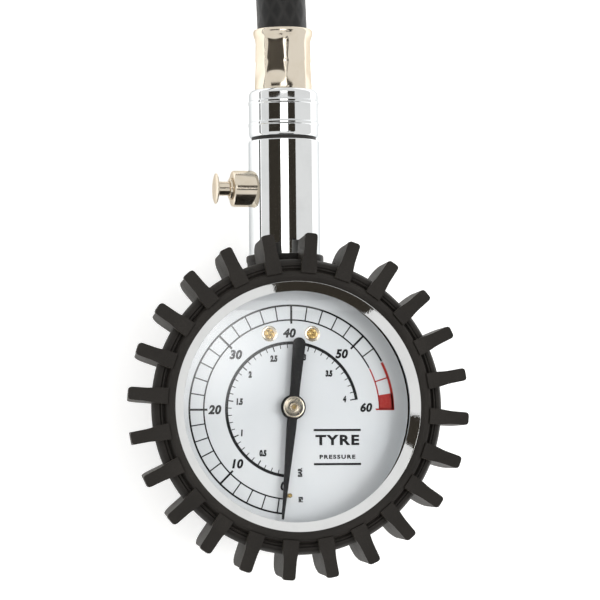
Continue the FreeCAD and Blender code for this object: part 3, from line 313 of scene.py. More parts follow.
def mesh_piece(name, shape, look, body="root", replaces=(), bend=None, crease=32, weighted=True):
    """A piece from points and faces in millimetres, riding on a CAD body, or left unattached when bend is
    given.
    """
    piece = placed(name, smoothed(metre_mesh(name, *shape), crease))
    if weighted:
        normals = piece.modifiers.new("Even shading", "WEIGHTED_NORMAL")
        normals.keep_sharp = True
    return dressed(piece, look, body, replaces, bend)


def dressed(piece, look, body="root", replaces=(), bend=None):
    """The piece with its material and its body, with the CAD nodes that it replaces hidden.
    """
    piece.data.materials.append(MATERIALS[look])
    if bend:
        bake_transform(piece)
    else:
        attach(piece, body)
    if replaces:
        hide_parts(*replaces)
    return piece


# ---------------------------------------------------------------- materials

class Look:
    """A Principled material, and short calls for the nodes that vary it."""

    def __init__(self, name, colour, roughness, metallic=0.0, **sockets):
        self.material = bpy.data.materials.new(name)
        self.material.use_nodes = True
        self.tree = self.material.node_tree
        self.shader = self.tree.nodes["Principled BSDF"]
        self.shader.inputs["Base Color"].default_value = (*colour, 1)
        self.shader.inputs["Roughness"].default_value = roughness
        self.shader.inputs["Metallic"].default_value = metallic
        for socket, value in sockets.items():
            self.shader.inputs[socket.replace("_", " ")].default_value = value
        self.place = self.node("ShaderNodeTexCoord").outputs["Object"]

    def node(self, kind, inputs=None, **settings):
        made = self.tree.nodes.new(kind)
        for key, value in settings.items():
            setattr(made, key, value)
        for key, value in (inputs or {}).items():
            if isinstance(value, bpy.types.NodeSocket):
                self.tree.links.new(value, made.inputs[key])
            else:
                made.inputs[key].default_value = value
        return made

    def stretched(self, scale, place=None):
        """The coordinates scaled along X, Y and Z."""
        made = self.node("ShaderNodeVectorMath", {0: place or self.place, 1: scale}, operation="MULTIPLY")
        return made.outputs[0]

    def noise(self, per_metre, detail=4.0, roughness=0.55, place=None, distortion=0.0):
        made = self.node("ShaderNodeTexNoise", {
            "Vector": place or self.place, "Scale": per_metre, "Detail": detail,
            "Roughness": roughness, "Distortion": distortion})
        return made.outputs["Fac"]

    def cells(self, per_metre, place=None):
        made = self.node("ShaderNodeTexVoronoi", {"Vector": place or self.place, "Scale": per_metre})
        return made.outputs["Distance"]

    def math(self, operation, a, b=0.0):
        made = self.node("ShaderNodeMath", {0: a, 1: b}, operation=operation)
        return made.outputs[0]

    def span(self, value, low, high, to_low, to_high):
        """value from low..high carried to to_low..to_high."""
        made = self.node("ShaderNodeMapRange", {
            "Value": value, "From Min": low, "From Max": high, "To Min": to_low, "To Max": to_high})
        return made.outputs["Result"]

    def blend(self, factor, first, second):
        """A colour between two others."""
        made = self.node("ShaderNodeMix", data_type="RGBA")
        self.tree.links.new(factor, made.inputs["Factor"])
        for key, value in (("A", first), ("B", second)):
            socket = [s for s in made.inputs if s.name == key and s.type == "RGBA"][0]
            if isinstance(value, bpy.types.NodeSocket):
                self.tree.links.new(value, socket)
            else:
                socket.default_value = (*value, 1)
        return [s for s in made.outputs if s.type == "RGBA"][0]

    def relief(self, height, depth_m, strength=1.0, under=None):
        inputs = {"Height": height, "Distance": depth_m, "Strength": strength}
        if under:
            inputs["Normal"] = under
        return self.node("ShaderNodeBump", inputs).outputs["Normal"]

    def drive(self, socket, value):
        self.tree.links.new(value, self.shader.inputs[socket])


def moulded_rubber(name, colour, dusty, roughness, grain_m, **sockets):
    """Moulded rubber: a fine pebbled skin, dusty patches, and small flow marks."""
    look = Look(name, colour, roughness, **sockets)
    patches = look.noise(90, 5, 0.6)
    specks = look.noise(2600, 2, 0.7)
    patchy = look.span(patches, 0.38, 0.7, 0.0, 1.0)
    speckled = look.span(specks, 0.3, 0.8, 0.35, 1.0)
    look.drive("Base Color", look.blend(look.math("MULTIPLY", patchy, speckled), colour, dusty))
    look.drive("Roughness", look.span(patches, 0.3, 0.7, roughness - 0.07, roughness + 0.1))
    pebbles = look.relief(look.cells(2300), grain_m, 0.55)
    look.drive("Normal", look.relief(look.noise(420, 5, 0.6), grain_m * 2.2, 0.5, pebbles))
    return look.material


def plated(name, colour, roughness, lines, tint, peel=0.0, wave=0.00005, **sockets):
    """Bright plating: faint machining lines under it, smudges, and a slight waviness or orange peel."""
    look = Look(name, colour, roughness, 1.0, **sockets)
    smudge = look.noise(160, 6, 0.62)
    turned = look.noise(900, 3, 0.6, look.stretched(lines))
    shade = look.span(smudge, 0.42, 0.75, 0.0, 1.0)
    look.drive("Base Color", look.blend(shade, colour, tint))
    worn = look.math("ADD", look.span(smudge, 0.42, 0.8, 0.0, 0.03), look.span(turned, 0.3, 0.7, 0.0, 0.02))
    look.drive("Roughness", look.math("ADD", worn, roughness))
    fine = look.relief(turned, 0.0000014, 0.5)
    if peel:
        fine = look.relief(look.noise(2400, 2, 0.6), peel, 0.6, fine)
    look.drive("Normal", look.relief(look.noise(70, 2, 0.5), wave, 0.3, fine))
    return look.material


def machined(name, colour, tint, roughness, lines):
    """Bare machined metal: cutter lines, light tarnish and small pits."""
    look = Look(name, colour, roughness, 1.0)
    turned = look.noise(1500, 3, 0.65, look.stretched(lines))
    tarnish = look.span(look.noise(260, 5, 0.6), 0.4, 0.72, 0.0, 1.0)
    look.drive("Base Color", look.blend(tarnish, colour, tint))
    look.drive("Roughness", look.span(turned, 0.3, 0.7, roughness - 0.08, roughness + 0.1))
    pits = look.relief(look.cells(3000), 0.000012, 0.25)
    look.drive("Normal", look.relief(turned, 0.00001, 0.6, pits))
    return look.material


def dial_satin():
    """Satin silver-white lacquer on the dial, with a very fine sparkle."""
    look = Look("dial_satin", (0.66, 0.70, 0.74), 0.36, 0.35, Coat_Weight=0.15, Coat_Roughness=0.12)
    cloud = look.noise(45, 3, 0.5)
    flake = look.noise(9000, 2, 0.8)
    tone = look.blend(look.span(cloud, 0.35, 0.7, 0, 1), (0.67, 0.685, 0.70), (0.605, 0.63, 0.655))
    look.drive("Base Color", look.blend(look.span(flake, 0.35, 0.75, 0, 0.22), tone, (0.50, 0.53, 0.56)))
    look.drive("Roughness", look.span(flake, 0.3, 0.7, 0.29, 0.4))
    look.drive("Normal", look.relief(flake, 0.000004, 0.35))
    return look.material


def printing_ink(name, colour, worn):
    """Pad-printed ink: slightly uneven cover and gloss."""
    look = Look(name, colour, 0.5, Specular_IOR_Level=0.15)
    cover = look.noise(1800, 4, 0.65)
    look.drive("Base Color", look.blend(look.span(cover, 0.42, 0.8, 0, 0.6), colour, worn))
    look.drive("Roughness", look.span(cover, 0.3, 0.7, 0.36, 0.55))
    look.drive("Normal", look.relief(cover, 0.000006, 0.4))
    return look.material


def painted_black():
    """Satin black lacquer of the pointer, with fine orange peel."""
    look = Look("pointer_lacquer", (0.008, 0.008, 0.009), 0.42, Specular_IOR_Level=0.25)
    peel = look.noise(1900, 3, 0.55)
    shade = look.span(peel, 0.4, 0.75, 0, 1)
    look.drive("Base Color", look.blend(shade, (0.007, 0.007, 0.008), (0.017, 0.016, 0.016)))
    look.drive("Roughness", look.span(look.noise(300, 4, 0.6), 0.3, 0.7, 0.36, 0.52))
    look.drive("Normal", look.relief(peel, 0.000012, 0.5))
    return look.material


def window_glass():
    """Clear lens that lets lamps through, with faint smears in its gloss."""
    look = Look("window", (0.985, 0.992, 0.99), 0.0, IOR=1.46, Transmission_Weight=1.0)
    smear = look.noise(120, 5, 0.6)
    look.drive("Roughness", look.span(smear, 0.5, 0.85, 0.0, 0.035))
    paths = look.node("ShaderNodeLightPath")
    lamp = look.math("MAXIMUM", paths.outputs["Is Shadow Ray"], paths.outputs["Is Diffuse Ray"])
    clear = look.node("ShaderNodeBsdfTransparent").outputs[0]
    mixed = look.node("ShaderNodeMixShader", {0: lamp, 1: look.shader.outputs[0], 2: clear})
    look.tree.links.new(mixed.outputs[0], look.tree.nodes["Material Output"].inputs["Surface"])
    return look.material


def braided_hose():
    """Rubber hose with the print of its braid: two crossing spirals pressed into a satin cover, with a
    painted highlight on their ridges.
    """
    look = Look("hose_cover", (0.010, 0.010, 0.009), 0.42, Specular_IOR_Level=0.3)
    lay = look.node("ShaderNodeUVMap", uv_map="lay").outputs["UV"]
    parts = look.node("ShaderNodeSeparateXYZ", {0: lay})
    wobble = look.span(look.noise(600, 3, 0.5), 0.0, 1.0, -0.35, 0.35)
    round_it = look.math("MULTIPLY", parts.outputs["X"], 2 * math.pi * 12)
    along = look.math("ADD", look.math("MULTIPLY", parts.outputs["Y"], 2 * math.pi * 0.19), wobble)
    ridge = None
    for sign in ("ADD", "SUBTRACT"):
        wave = look.math("SINE", look.math(sign, round_it, along))
        pressed = look.math("POWER", look.span(wave, -1, 1, 0, 1), 2.0)
        ridge = pressed if ridge is None else look.math("MAXIMUM", ridge, pressed)
    threads = look.math("MULTIPLY", look.noise(2500, 2, 0.7, look.stretched((1, 0.2, 1))), 0.3)
    height = look.math("ADD", ridge, threads)
    # The braid's ridges are painted lighter in colour: a painted highlight along the ridges.
    worn = look.span(ridge, 0.2, 1, 0, 1)
    look.drive("Base Color", look.blend(worn, (0.006, 0.006, 0.006), (0.013, 0.0125, 0.012)))
    look.drive("Roughness", look.span(look.noise(500, 4, 0.6), 0.3, 0.7, 0.3, 0.5))
    grain = look.relief(look.noise(3500, 2, 0.6), 0.00003, 0.4)
    look.drive("Normal", look.relief(height, 0.00007, 0.5, grain))
    return look.material


MATERIALS = {
    "boot_rubber": moulded_rubber(
        "boot_rubber_look", (0.012, 0.0105, 0.009), (0.022, 0.0195, 0.017), 0.54, 0.00004,
        Specular_IOR_Level=0.2, Sheen_Weight=0.06, Sheen_Roughness=0.4, Sheen_Tint=(0.75, 0.66, 0.52, 1)),
    "seal_rubber": moulded_rubber(
        "seal_rubber_look", (0.012, 0.011, 0.010), (0.024, 0.021, 0.019), 0.5, 0.00003,
        Specular_IOR_Level=0.3),
    "chrome": plated(
        "chrome_look", (0.76, 0.775, 0.78), 0.03, (1, 0.15, 1), (0.70, 0.715, 0.72),
        Specular_Tint=(0.62, 0.64, 0.65, 1)),
    "bezel_chrome": plated(
        "bezel_look", (0.78, 0.79, 0.79), 0.03, (1, 1, 1), (0.72, 0.73, 0.73), peel=0.00001,
        Specular_Tint=(0.7, 0.71, 0.72, 1)),
    "warm_nickel": plated(
        "nickel_look", (0.76, 0.69, 0.58), 0.13, (0.15, 1, 0.15), (0.70, 0.62, 0.50), wave=0.00001,
        Specular_Tint=(0.66, 0.61, 0.54, 1)),
    "brass": machined("brass_look", (0.70, 0.50, 0.21), (0.50, 0.34, 0.13), 0.24, (1, 1, 0.2)),
    "bright_steel": machined("steel_look", (0.66, 0.65, 0.63), (0.5, 0.48, 0.45), 0.3, (1, 1, 0.2)),
    "spring_bronze": machined("bronze_look", (0.72, 0.47, 0.26), (0.5, 0.32, 0.19), 0.3, (0.3, 0.3, 1)),
    "clear_lens": window_glass(),
    "dial_white": dial_satin(),
    "pointer_black": painted_black(),
    "hose_rubber": braided_hose(),
    "ink_black": printing_ink("ink_black", (0.010, 0.010, 0.011), (0.03, 0.03, 0.032)),
    "ink_red": printing_ink("ink_red", (0.36, 0.030, 0.026), (0.42, 0.07, 0.06)),
}


def slot_of(node):
    """The material slot that the record gives a CAD node."""
    return [row["material_slot"] for row in frame["record"]["subparts"] if row["node"] == node][0]


def dress_cad_nodes():
    """Every CAD node takes the material of its slot."""
    for row in frame["record"]["subparts"]:
        node = frame["nodes"][row["node"]]
        node.data.materials.clear()
        node.data.materials.append(MATERIALS[row["material_slot"]])


# ---------------------------------------------------------------- camera and hose

def camera():
    """The photograph's view: nearly straight down on the dial, a little from the left and from below."""
    yaw = math.radians(CAMERA_YAW)
    pitch = math.radians(CAMERA_PITCH)
    back = Vector((-math.sin(yaw) * math.cos(pitch), -math.sin(pitch), math.cos(yaw) * math.cos(pitch)))
    right = Y.cross(back).normalized()
    up = back.cross(right)
    turn = Matrix((right, up, back)).transposed() @ Matrix.Rotation(math.radians(CAMERA_ROLL), 3, "Z")
    data = bpy.data.cameras.new("camera")
    data.lens = CAMERA_LENS
    data.sensor_width = 36.0
    data.clip_start = 0.01
    made = placed("camera", data)
    made.matrix_world = Matrix.LocRotScale((CAMERA_AIM + back * CAMERA_DISTANCE) * MM, turn, None)
    bpy.context.scene.camera = made


def route_points(control_points):
    """Points in metres along the NURBS spline with these control points."""
    curve = bpy.data.curves.new("route", "CURVE")
    curve.dimensions = "3D"
    curve.resolution_u = 24
    spline = curve.splines.new("NURBS")
    spline.points.add(len(control_points) - 1)
    for point, place in zip(spline.points, control_points):
        point.co = (*place, 1)
    spline.order_u = 3
    spline.use_endpoint_u = True
    guide = placed("route", curve)
    bpy.context.view_layer.update()
    line = bpy.data.meshes.new_from_object(guide.evaluated_get(bpy.context.evaluated_depsgraph_get()))
    points = [v.co.copy() for v in line.vertices]
    bpy.data.objects.remove(guide)
    bpy.data.meshes.remove(line)
    return points


def tube_along(points, radius, steps=48):
    """A closed tube round the points, its faces, and the way round and along at each of its corners."""
    side = (points[1] - points[0]).orthogonal().normalized()
    corners = []
    lay = []
    travelled = 0.0
    for i, centre in enumerate(points):
        heading = (points[min(i + 1, len(points) - 1)] - points[max(i - 1, 0)]).normalized()
        side = (side - heading * side.dot(heading)).normalized()
        other = heading.cross(side)
        if i:
            travelled += (centre - points[i - 1]).length
        for j in range(steps + 1):
            angle = 2 * math.pi * j / steps
            corners.append(centre + (side * math.cos(angle) + other * math.sin(angle)) * radius)
            lay.append((j / steps, travelled))
    return corners, lay


def tube_shape(points, radius, steps=48):
    """tube_along's corners without its seam, its faces with their two ends, and each face corner's lay."""
    corners, lay = tube_along(points, radius, steps)
    row = steps + 1
    used = [k for k in range(len(corners)) if k % row != steps]
    index = {k: i for i, k in enumerate(used)}
    faces = []
    face_lay = []
    for i in range(len(points) - 1):
        for j in range(steps):
            quad = (i * row + j, i * row + j + 1, (i + 1) * row + j + 1, (i + 1) * row + j)
            faces.append([index[k - steps if k % row == steps else k] for k in quad])
            face_lay += [lay[k] for k in quad]
    for end in (0, len(points) - 1):
        ring = [end * row + j for j in range(steps)]
        faces.append([index[k] for k in ring])
        face_lay += [lay[k] for k in ring]
    return [corners[k] for k in used], faces, face_lay


def hose():
    """The hose from the stem to the chuck, as one closed tube along its route."""
    points = [p / MM for p in route_points(HOSE_ROUTE_M)]
    corners, faces, face_lay = tube_shape(points, HOSE_R)
    mesh = metre_mesh("hose_cover", corners, faces)
    layer = mesh.uv_layers.new(name="lay")
    layer.data.foreach_set("uv", [x for pair in face_lay for x in pair])
    cover = placed("hose_cover", smoothed(mesh, 60))
    dressed(cover, "hose_rubber", replaces=["hose"])
    return cover, [p * MM for p in points]


camera()
hose_cover, hose_line = hose()


# ---------------------------------------------------------------- boot

def lug():
    """One lug on the +X side: a face plate, and the rib behind it with a rounded back corner."""
    plate_z = FACE_Z - 1.0
    rib_corners = [
        (27.4, plate_z, 0), (LUG_TIP_R - 0.4, plate_z, 0), (LUG_TIP_R - 0.9, LUG_BACK_Z + 2.9, 1.0),
        (LUG_TIP_R - 2.2, LUG_BACK_Z, 1.6), (27.4, LUG_BACK_Z, 0),
    ]
    rib_outline = [(p.x, p.y) for p in rounded(rib_corners)]
    points, faces = bevelled(prism(rib_outline, -1.3, 1.3), 0.22)
    rib = ([Vector((p.x, -p.z, p.y)) for p in points], faces)
    plate_outline = rounded([
        (26.8, -1.6, 0.1), (29.2, -1.55, 0.8), (30.6, -1.32, 0.9), (LUG_TIP_R, -1.28, 0.75),
        (LUG_TIP_R, 1.28, 0.75), (30.6, 1.32, 0.9), (29.2, 1.55, 0.8), (26.8, 1.6, 0.1),
    ])
    plate = bevelled(prism([(p.x, p.y) for p in plate_outline], plate_z - 0.2, FACE_Z), 0.22)
    return joined([rib, plate])


def boot():
    """The rubber cup with its rolled lip, groove, lugs and the sleeve round the stem."""
    inner_r = CASE_HIGH.x + 0.02
    body_r = 25.22
    ring = lathe(rounded([
        (BOOT_HOLE_R, 0, 0.3), (BOOT_BACK_R, 0, 0.8), (BOOT_R, SHOULDER_Z - 0.2, 0.7), (28.9, 27.2, 0.6),
        (28.55, 27.15, 0.1), (28.4, 26.7, 0.1), (28.15, 26.7, 0.1), (28.0, 27.15, 0.15), (27.75, 27.15, 0.1),
        (27.6, 26.5, 0.15), (27.3, 26.5, 0.15), (27.0, 27.9, 0.5), (26.1, 28.1, 0.5), (LIP_R, 27.4, 0.25),
        (LIP_R, BEZEL_Z + 0.02, 0.05), (inner_r, BEZEL_Z + 0.02, 0), (inner_r, 17.88, 0), (body_r, 17.88, 0),
        (body_r, 9.5, 0), (22.92, CASE_LOW.z, 0), (BOOT_HOLE_R, CASE_LOW.z, 0.2),
    ]), steps=240)
    sleeve = set_at(lathe(rounded([
        (STEM_R + 0.02, 25.8, 0), (7.7, 25.8, 0), (7.7, 29.7, 0.3), (7.9, 30.0, 0.2), (7.9, 31.2, 0.35),
        (7.5, 31.2, 0.1), (STEM_R + 0.02, 30.9, 0),
    ]), steps=96), Z * STEM_Z, Y)
    shapes = [ring, sleeve]
    points, faces = lug()
    for i in range(LUG_COUNT):
        turn = Matrix.Rotation(math.radians(LUG_FIRST_DEG + 360 / LUG_COUNT * i), 3, "Z")
        shapes.append(([turn @ p for p in points], faces))
    mesh_piece("boot_skin", joined(shapes), "boot_rubber", replaces=["boot"])


# ---------------------------------------------------------------- bezel, dial and pointer

def bezel():
    """A spun chrome ring: rolled outer edge, a bright sloping flank and a thin lip on the window."""
    low = LENS_TOP_Z
    outline = rounded([
        (25.42, CASE_STEP_Z, 0), (BEZEL_R, CASE_STEP_Z, 0.2), (BEZEL_R, BEZEL_Z, 0.4), (25.1, BEZEL_Z, 0.2),
        (24.15, low + 0.73, 0.4), (23.2, low + 0.06, 0.04), (23.2, low, 0), (25.42, low, 0),
    ], segments=6)
    ring = lathe(outline, steps=240)
    mesh_piece("bezel_ring", ring, "bezel_chrome", replaces=["bezel"])


def turned_deg(psi):
    """The way round the dial at which the pointer shows a pressure."""
    return NO_PRESSURE_DEG - DEG_PER_PSI * psi


def arc_band(radius, width, from_deg, to_deg):
    """A flat curved band of the print."""
    steps = max(2, int(abs(to_deg - from_deg) / 1.5))
    outline = []
    for r, order in ((radius - width / 2, range(steps + 1)), (radius + width / 2, range(steps, -1, -1))):
        for i in order:
            angle = math.radians(from_deg + (to_deg - from_deg) * i / steps)
            outline.append((r * math.cos(angle), r * math.sin(angle)))
    return outline


def band_shape(radius, width, from_deg, to_deg, low, high):
    """A closed thin solid over arc_band's outline, in quads."""
    outline = arc_band(radius, width, from_deg, to_deg)
    count = len(outline)
    points = [Vector((x, y, low)) for x, y in outline] + [Vector((x, y, high)) for x, y in outline]
    faces = [[i, (i + 1) % count, count + (i + 1) % count, count + i] for i in range(count)]
    for i in range(count // 2 - 1):
        far = count - 1 - i
        faces.append([i, i + 1, far - 1, far])
        faces.append([count + far, count + far - 1, count + i + 1, count + i])
    return points, faces


def tick(degrees, from_r, to_r, width, low, high):
    """A straight mark of a scale, along a radius."""
    angle = math.radians(degrees)
    along = Vector((math.cos(angle), math.sin(angle)))
    across = Vector((-along.y, along.x)) * width / 2
    ends = [along * from_r, along * to_r]
    outline = [ends[0] - across, ends[1] - across, ends[1] + across, ends[0] + across]
    return prism([(p.x, p.y) for p in outline], low, high)


def lettering(text, height, place, slant=0.0, condense=0.8, weight=0.0, spacing=1.0, turn_deg=0.0):
    """Text as a thin solid, centred on place."""
    curve = bpy.data.curves.new("text", "FONT")
    curve.body = text
    curve.size = 1.0
    curve.shear = slant
    curve.offset = weight
    curve.extrude = 0.01
    curve.space_character = spacing
    curve.resolution_u = 6
    guide = placed("text", curve)
    bpy.context.view_layer.update()
    mesh = bpy.data.meshes.new_from_object(guide.evaluated_get(bpy.context.evaluated_depsgraph_get()))
    bpy.data.objects.remove(guide)
    low = Vector(map(min, *[v.co for v in mesh.vertices]))
    high = Vector(map(max, *[v.co for v in mesh.vertices]))
    middle = (low + high) / 2
    scale = height / (high.y - low.y)
    turn = Matrix.Rotation(math.radians(turn_deg), 3, "Z")
    points = []
    for v in mesh.vertices:
        flat = v.co - middle
        across = turn @ Vector((flat.x * scale * condense, flat.y * scale, 0))
        side = PRINT_TOP if flat.z > 0 else PRINT_LOW
        points.append(across + Vector((place[0], place[1], side)))
    faces = [list(p.vertices) for p in mesh.polygons]
    bpy.data.meshes.remove(mesh)
    return points, faces


def scale_arcs():
    """The black psi and bar arcs and their ticks."""
    end = turned_deg(RED_FROM_PSI)
    shapes = [
        band_shape(PSI_OUTER_R, 0.38, SCALE_START_DEG, end + 0.6, PRINT_LOW, PRINT_TOP),
        band_shape(PSI_INNER_R, 0.3, SCALE_START_DEG, end + 0.6, PRINT_LOW, PRINT_TOP),
        tick(SCALE_START_DEG, PSI_INNER_R - 0.7, PSI_OUTER_R + 0.17, 0.34, PRINT_LOW, PRINT_TOP),
    ]
    for psi in range(2, RED_FROM_PSI, 2):
        major = psi % 10 == 0
        inner = PSI_INNER_R - (0.75 if major else 0.1)
        width = 0.42 if major else 0.25
        shapes.append(tick(turned_deg(psi), inner, PSI_OUTER_R, width, PRINT_LOW, PRINT_TOP))
    full_bar_deg = turned_deg(FULL_BAR * PSI_PER_BAR)
    shapes.append(band_shape(BAR_R, 0.62, SCALE_START_DEG, full_bar_deg - 0.6, PRINT_LOW, PRINT_TOP))
    for tenth in range(1, 10 * FULL_BAR + 1):
        half = tenth % 5 == 0
        inner = BAR_R - (1.3 if half else 1.05)
        degrees = turned_deg(tenth / 10 * PSI_PER_BAR)
        shapes.append(tick(degrees, inner, BAR_R, 0.24 if half else 0.17, PRINT_LOW, PRINT_TOP))
    return shapes


def scale_labels():
    """Numbers and unit names of both scales, and a plain caption."""
    labels = []
    for text, x, y in (("0", -1.9, -15.4), ("10", -11.3, -10.9), ("20", -15.9, 0.0), ("30", -11.5, 11.1),
                       ("40", -0.4, 15.5), ("50", 10.4, 11.3), ("60", 15.4, 0.4)):
        labels.append(lettering(text, 1.9, (x, y), slant=0.2, condense=0.98, weight=0.05, spacing=1.08))
    for text, x, y in (("0.5", -6.1, -8.8), ("1", -10.4, -4.7), ("1.5", -10.8, 1.6), ("2", -8.6, 7.1),
                       ("2.5", -3.7, 10.3), ("3", 2.7, 10.6), ("3.5", 7.7, 7.3), ("4", 10.9, 2.1)):
        labels.append(lettering(text, 1.35, (x, y), slant=0.08, condense=0.72, weight=0.075))
    labels.append(lettering("BAR", 0.95, (1.5, -12.7), condense=0.8, weight=0.06, turn_deg=90))
    labels.append(lettering("PSI", 0.95, (1.6, -18.2), condense=0.8, weight=0.06, turn_deg=90))
    labels.append(lettering("TYRE", 2.1, (9.3, -6.2), condense=1.25, weight=0.04, spacing=1.2))
    labels.append(lettering("PRESSURE", 0.85, (9.3, -9.6), condense=1.3, weight=0.05, spacing=1.3))
    for y in (-4.4, -11.3):
        labels.append(prism([(4.4, y), (14.2, y), (14.2, y + 0.45), (4.4, y + 0.45)], PRINT_LOW, PRINT_TOP))
    return labels


def red_zone():
    """The red end of the psi scale."""
    start = turned_deg(RED_FROM_PSI)
    end = turned_deg(FULL_PSI)
    block = turned_deg(FULL_PSI - 2)
    middle = (PSI_INNER_R + PSI_OUTER_R) / 2
    width = PSI_OUTER_R - PSI_INNER_R
    return [
        band_shape(PSI_OUTER_R - 0.1, 0.55, start, end, PRINT_LOW, PRINT_TOP),
        band_shape(PSI_INNER_R, 0.28, start, end, PRINT_LOW, PRINT_TOP),
        band_shape(middle, width, block, end, PRINT_LOW, PRINT_TOP),
        tick(turned_deg(FULL_PSI - 4), PSI_INNER_R, PSI_OUTER_R, 0.28, PRINT_LOW, PRINT_TOP),
        tick(end, PSI_INNER_R - 0.8, PSI_OUTER_R + 0.17, 0.36, PRINT_LOW, PRINT_TOP),
    ]


def dial_print():
    """Both scales and the labels in black, and the end of the psi scale in red."""
    for name, shapes, ink in (("print_black", scale_arcs() + scale_labels(), "ink_black"),
                              ("print_red", red_zone(), "ink_red")):
        points, faces = joined(shapes)
        shifted = [p + PRINT_CENTRE for p in points]
        mesh_piece(name, (shifted, faces), ink, crease=20, weighted=False)


def pointer_hub():
    """The nickel bush: a flat turned cap with a rounded edge, over its barrel."""
    outline = rounded([
        (0.42, BUSH_LOW.z, 0), (1.6, BUSH_LOW.z, 0.1), (1.6, 21.1, 0), (2.2, 21.1, 0.1),
        (2.2, BUSH_HIGH.z, 0.28), (0.75, BUSH_HIGH.z, 0.05), (0.7, BUSH_HIGH.z - 0.06, 0.05),
        (0.42, BUSH_HIGH.z - 0.06, 0),
    ])
    mesh_piece("pointer_hub", lathe(outline, steps=96), "warm_nickel", "pointer_set", ["pointer_bush"])


def dial_screw_heads():
    """The two brass screws: a pale seat in the dial, and a head of four petals with a cross slot between."""
    corner = reach("dial_screws")[1]
    radius = math.hypot(corner.x - DIAL_SCREW_R, corner.y - DIAL_SCREW_R)
    side = math.degrees(math.atan2(corner.x - DIAL_SCREW_R, corner.y - DIAL_SCREW_R))
    petal_arc = [math.radians(degrees) for degrees in range(17, 75, 8)]
    seats = []
    heads = []
    for degrees in (90 - side, 90 + side):
        angle = math.radians(degrees)
        centre = Vector((math.cos(angle), math.sin(angle), 0)) * radius
        seats.append(set_at(lathe(rounded([
            (0.6, DIAL_Z - 0.15, 0), (1.6, DIAL_Z - 0.15, 0), (1.6, DIAL_Z + 0.1, 0.1),
            (1.2, DIAL_Z + 0.04, 0.08), (1.12, DIAL_Z - 0.06, 0.05), (0.6, DIAL_Z - 0.06, 0),
        ]), steps=64), centre))
        heads.append(set_at(lathe(rounded([
            (0, DIAL_Z - 0.1, 0), (1.02, DIAL_Z - 0.1, 0), (1.02, DIAL_Z, 0.08), (0, DIAL_Z, 0),
        ]), closed=False, steps=64), centre))
        for quarter in range(4):
            turn = Matrix.Rotation(math.radians(35 + 90 * quarter), 2)
            arc = [Vector((math.cos(angle), math.sin(angle))) * 0.92 for angle in petal_arc]
            outline = [turn @ p for p in [Vector((0.22, 0.22)), *arc]]
            petal = bevelled(prism([(p.x, p.y) for p in outline], DIAL_Z, DIAL_Z + 0.38), 0.06, 2)
            heads.append(set_at(petal, centre))
    mesh_piece("dial_screw_seats", joined(seats), "warm_nickel")
    mesh_piece("dial_screw_heads", joined(heads), "brass", replaces=["dial_screws"])


# ---------------------------------------------------------------- stem, bleed valve, collar and ferrules

def bored(piece, shape):
    """The piece's mesh with another closed shape cut out of it."""
    cutter = placed("cutter", metre_mesh("cutter", *shape))
    cut = piece.modifiers.new("Bore", "BOOLEAN")
    cut.object = cutter
    cut.operation = "DIFFERENCE"
    cut.solver = "EXACT"
    bpy.context.view_layer.update()
    piece.data = bpy.data.meshes.new_from_object(piece.evaluated_get(bpy.context.evaluated_depsgraph_get()))
    piece.modifiers.remove(cut)
    bpy.data.objects.remove(cutter)


def stem():
    """The chrome tube, with the cross bore that the bleed valve sits in."""
    outline = rounded([
        (STEM_R, STEM_FOOT_Y, 0), (STEM_R, BLEED_Y - 4, 0), (STEM_R, BLEED_Y + 4, 0),
        (STEM_R, STEM_TOP_Y, 0.25), (CHAMBER_R, STEM_TOP_Y, 0.1), (CHAMBER_R, CHAMBER_Y, 0),
        (STEM_BORE_R, CHAMBER_Y, 0), (STEM_BORE_R, STEM_FOOT_Y, 0),
    ])
    blank = placed("stem_blank", metre_mesh("stem_blank", *set_at(lathe(outline), Z * STEM_Z, Y)))
    bore = lathe([(0, 0), (BLEED_BORE_R, 0), (BLEED_BORE_R, STEM_R), (0, STEM_R)], closed=False, steps=96)
    bored(blank, set_at(bore, Vector((-STEM_R - 1, BLEED_Y, STEM_Z)), X))
    shape = ([v.co / MM for v in blank.data.vertices], [list(p.vertices) for p in blank.data.polygons])
    bpy.data.objects.remove(blank)
    mesh_piece("stem_tube", shape, "chrome", replaces=["stem"])


def bleed_valve():
    """The boss and its shank in the stem, the ring round the plunger, and the whole push button."""
    centre = Vector((0, BLEED_Y, STEM_Z))
    face = -BODY_LOW.x
    inner = -BODY_HIGH.x
    boss = lathe(rounded([
        (BLEED_BORE_R - 0.02, inner, 0), (BLEED_BORE_R - 0.02, 5.5, 0), (3.72, 5.5, 0),
        (3.7, face, 0.55), (2.3, face, 0.1), (2.2, face - 0.15, 0.05), (1.5, face - 0.15, 0.05),
        (1.5, face - 2.2, 0), (2.0, face - 2.2, 0), (2.0, inner + 1.0, 0), (1.0, inner + 1.0, 0),
        (1.0, inner, 0),
    ]), steps=96)
    mesh_piece("bleed_boss", set_at(boss, centre, -X), "warm_nickel", replaces=["bleed_body"])
    low, high = reach("bleed_gland")
    gland = lathe(rounded([
        (1.5, -high.x, 0), (2.2, -high.x, 0), (2.2, -low.x, 0.15), (1.5, -low.x, 0.1),
    ]), steps=96)
    mesh_piece("gland_ring", set_at(gland, centre, -X), "warm_nickel", replaces=["bleed_gland"])
    top = -BUTTON_LOW.x
    end = -BUTTON_HIGH.x
    button = lathe(rounded([
        (0, end, 0), (SEAL_HEAD_R, end, 0.1), (SEAL_HEAD_R, end + 0.8, 0.1), (ROD_R, end + 0.8, 0),
        (ROD_R, 8.0, 0), (PLUNGER_R, 8.0, 0.05), (PLUNGER_R, top - 0.75, 0.3), (3.05, top - 0.62, 0.12),
        (3.2, top - 0.32, 0.18), (2.5, top - 0.03, 0.4), (0, top, 0),
    ]), closed=False, steps=96)
    mesh_piece("push_button", set_at(button, centre, -X), "warm_nickel", "bleed_plunger", ["bleed_button"])


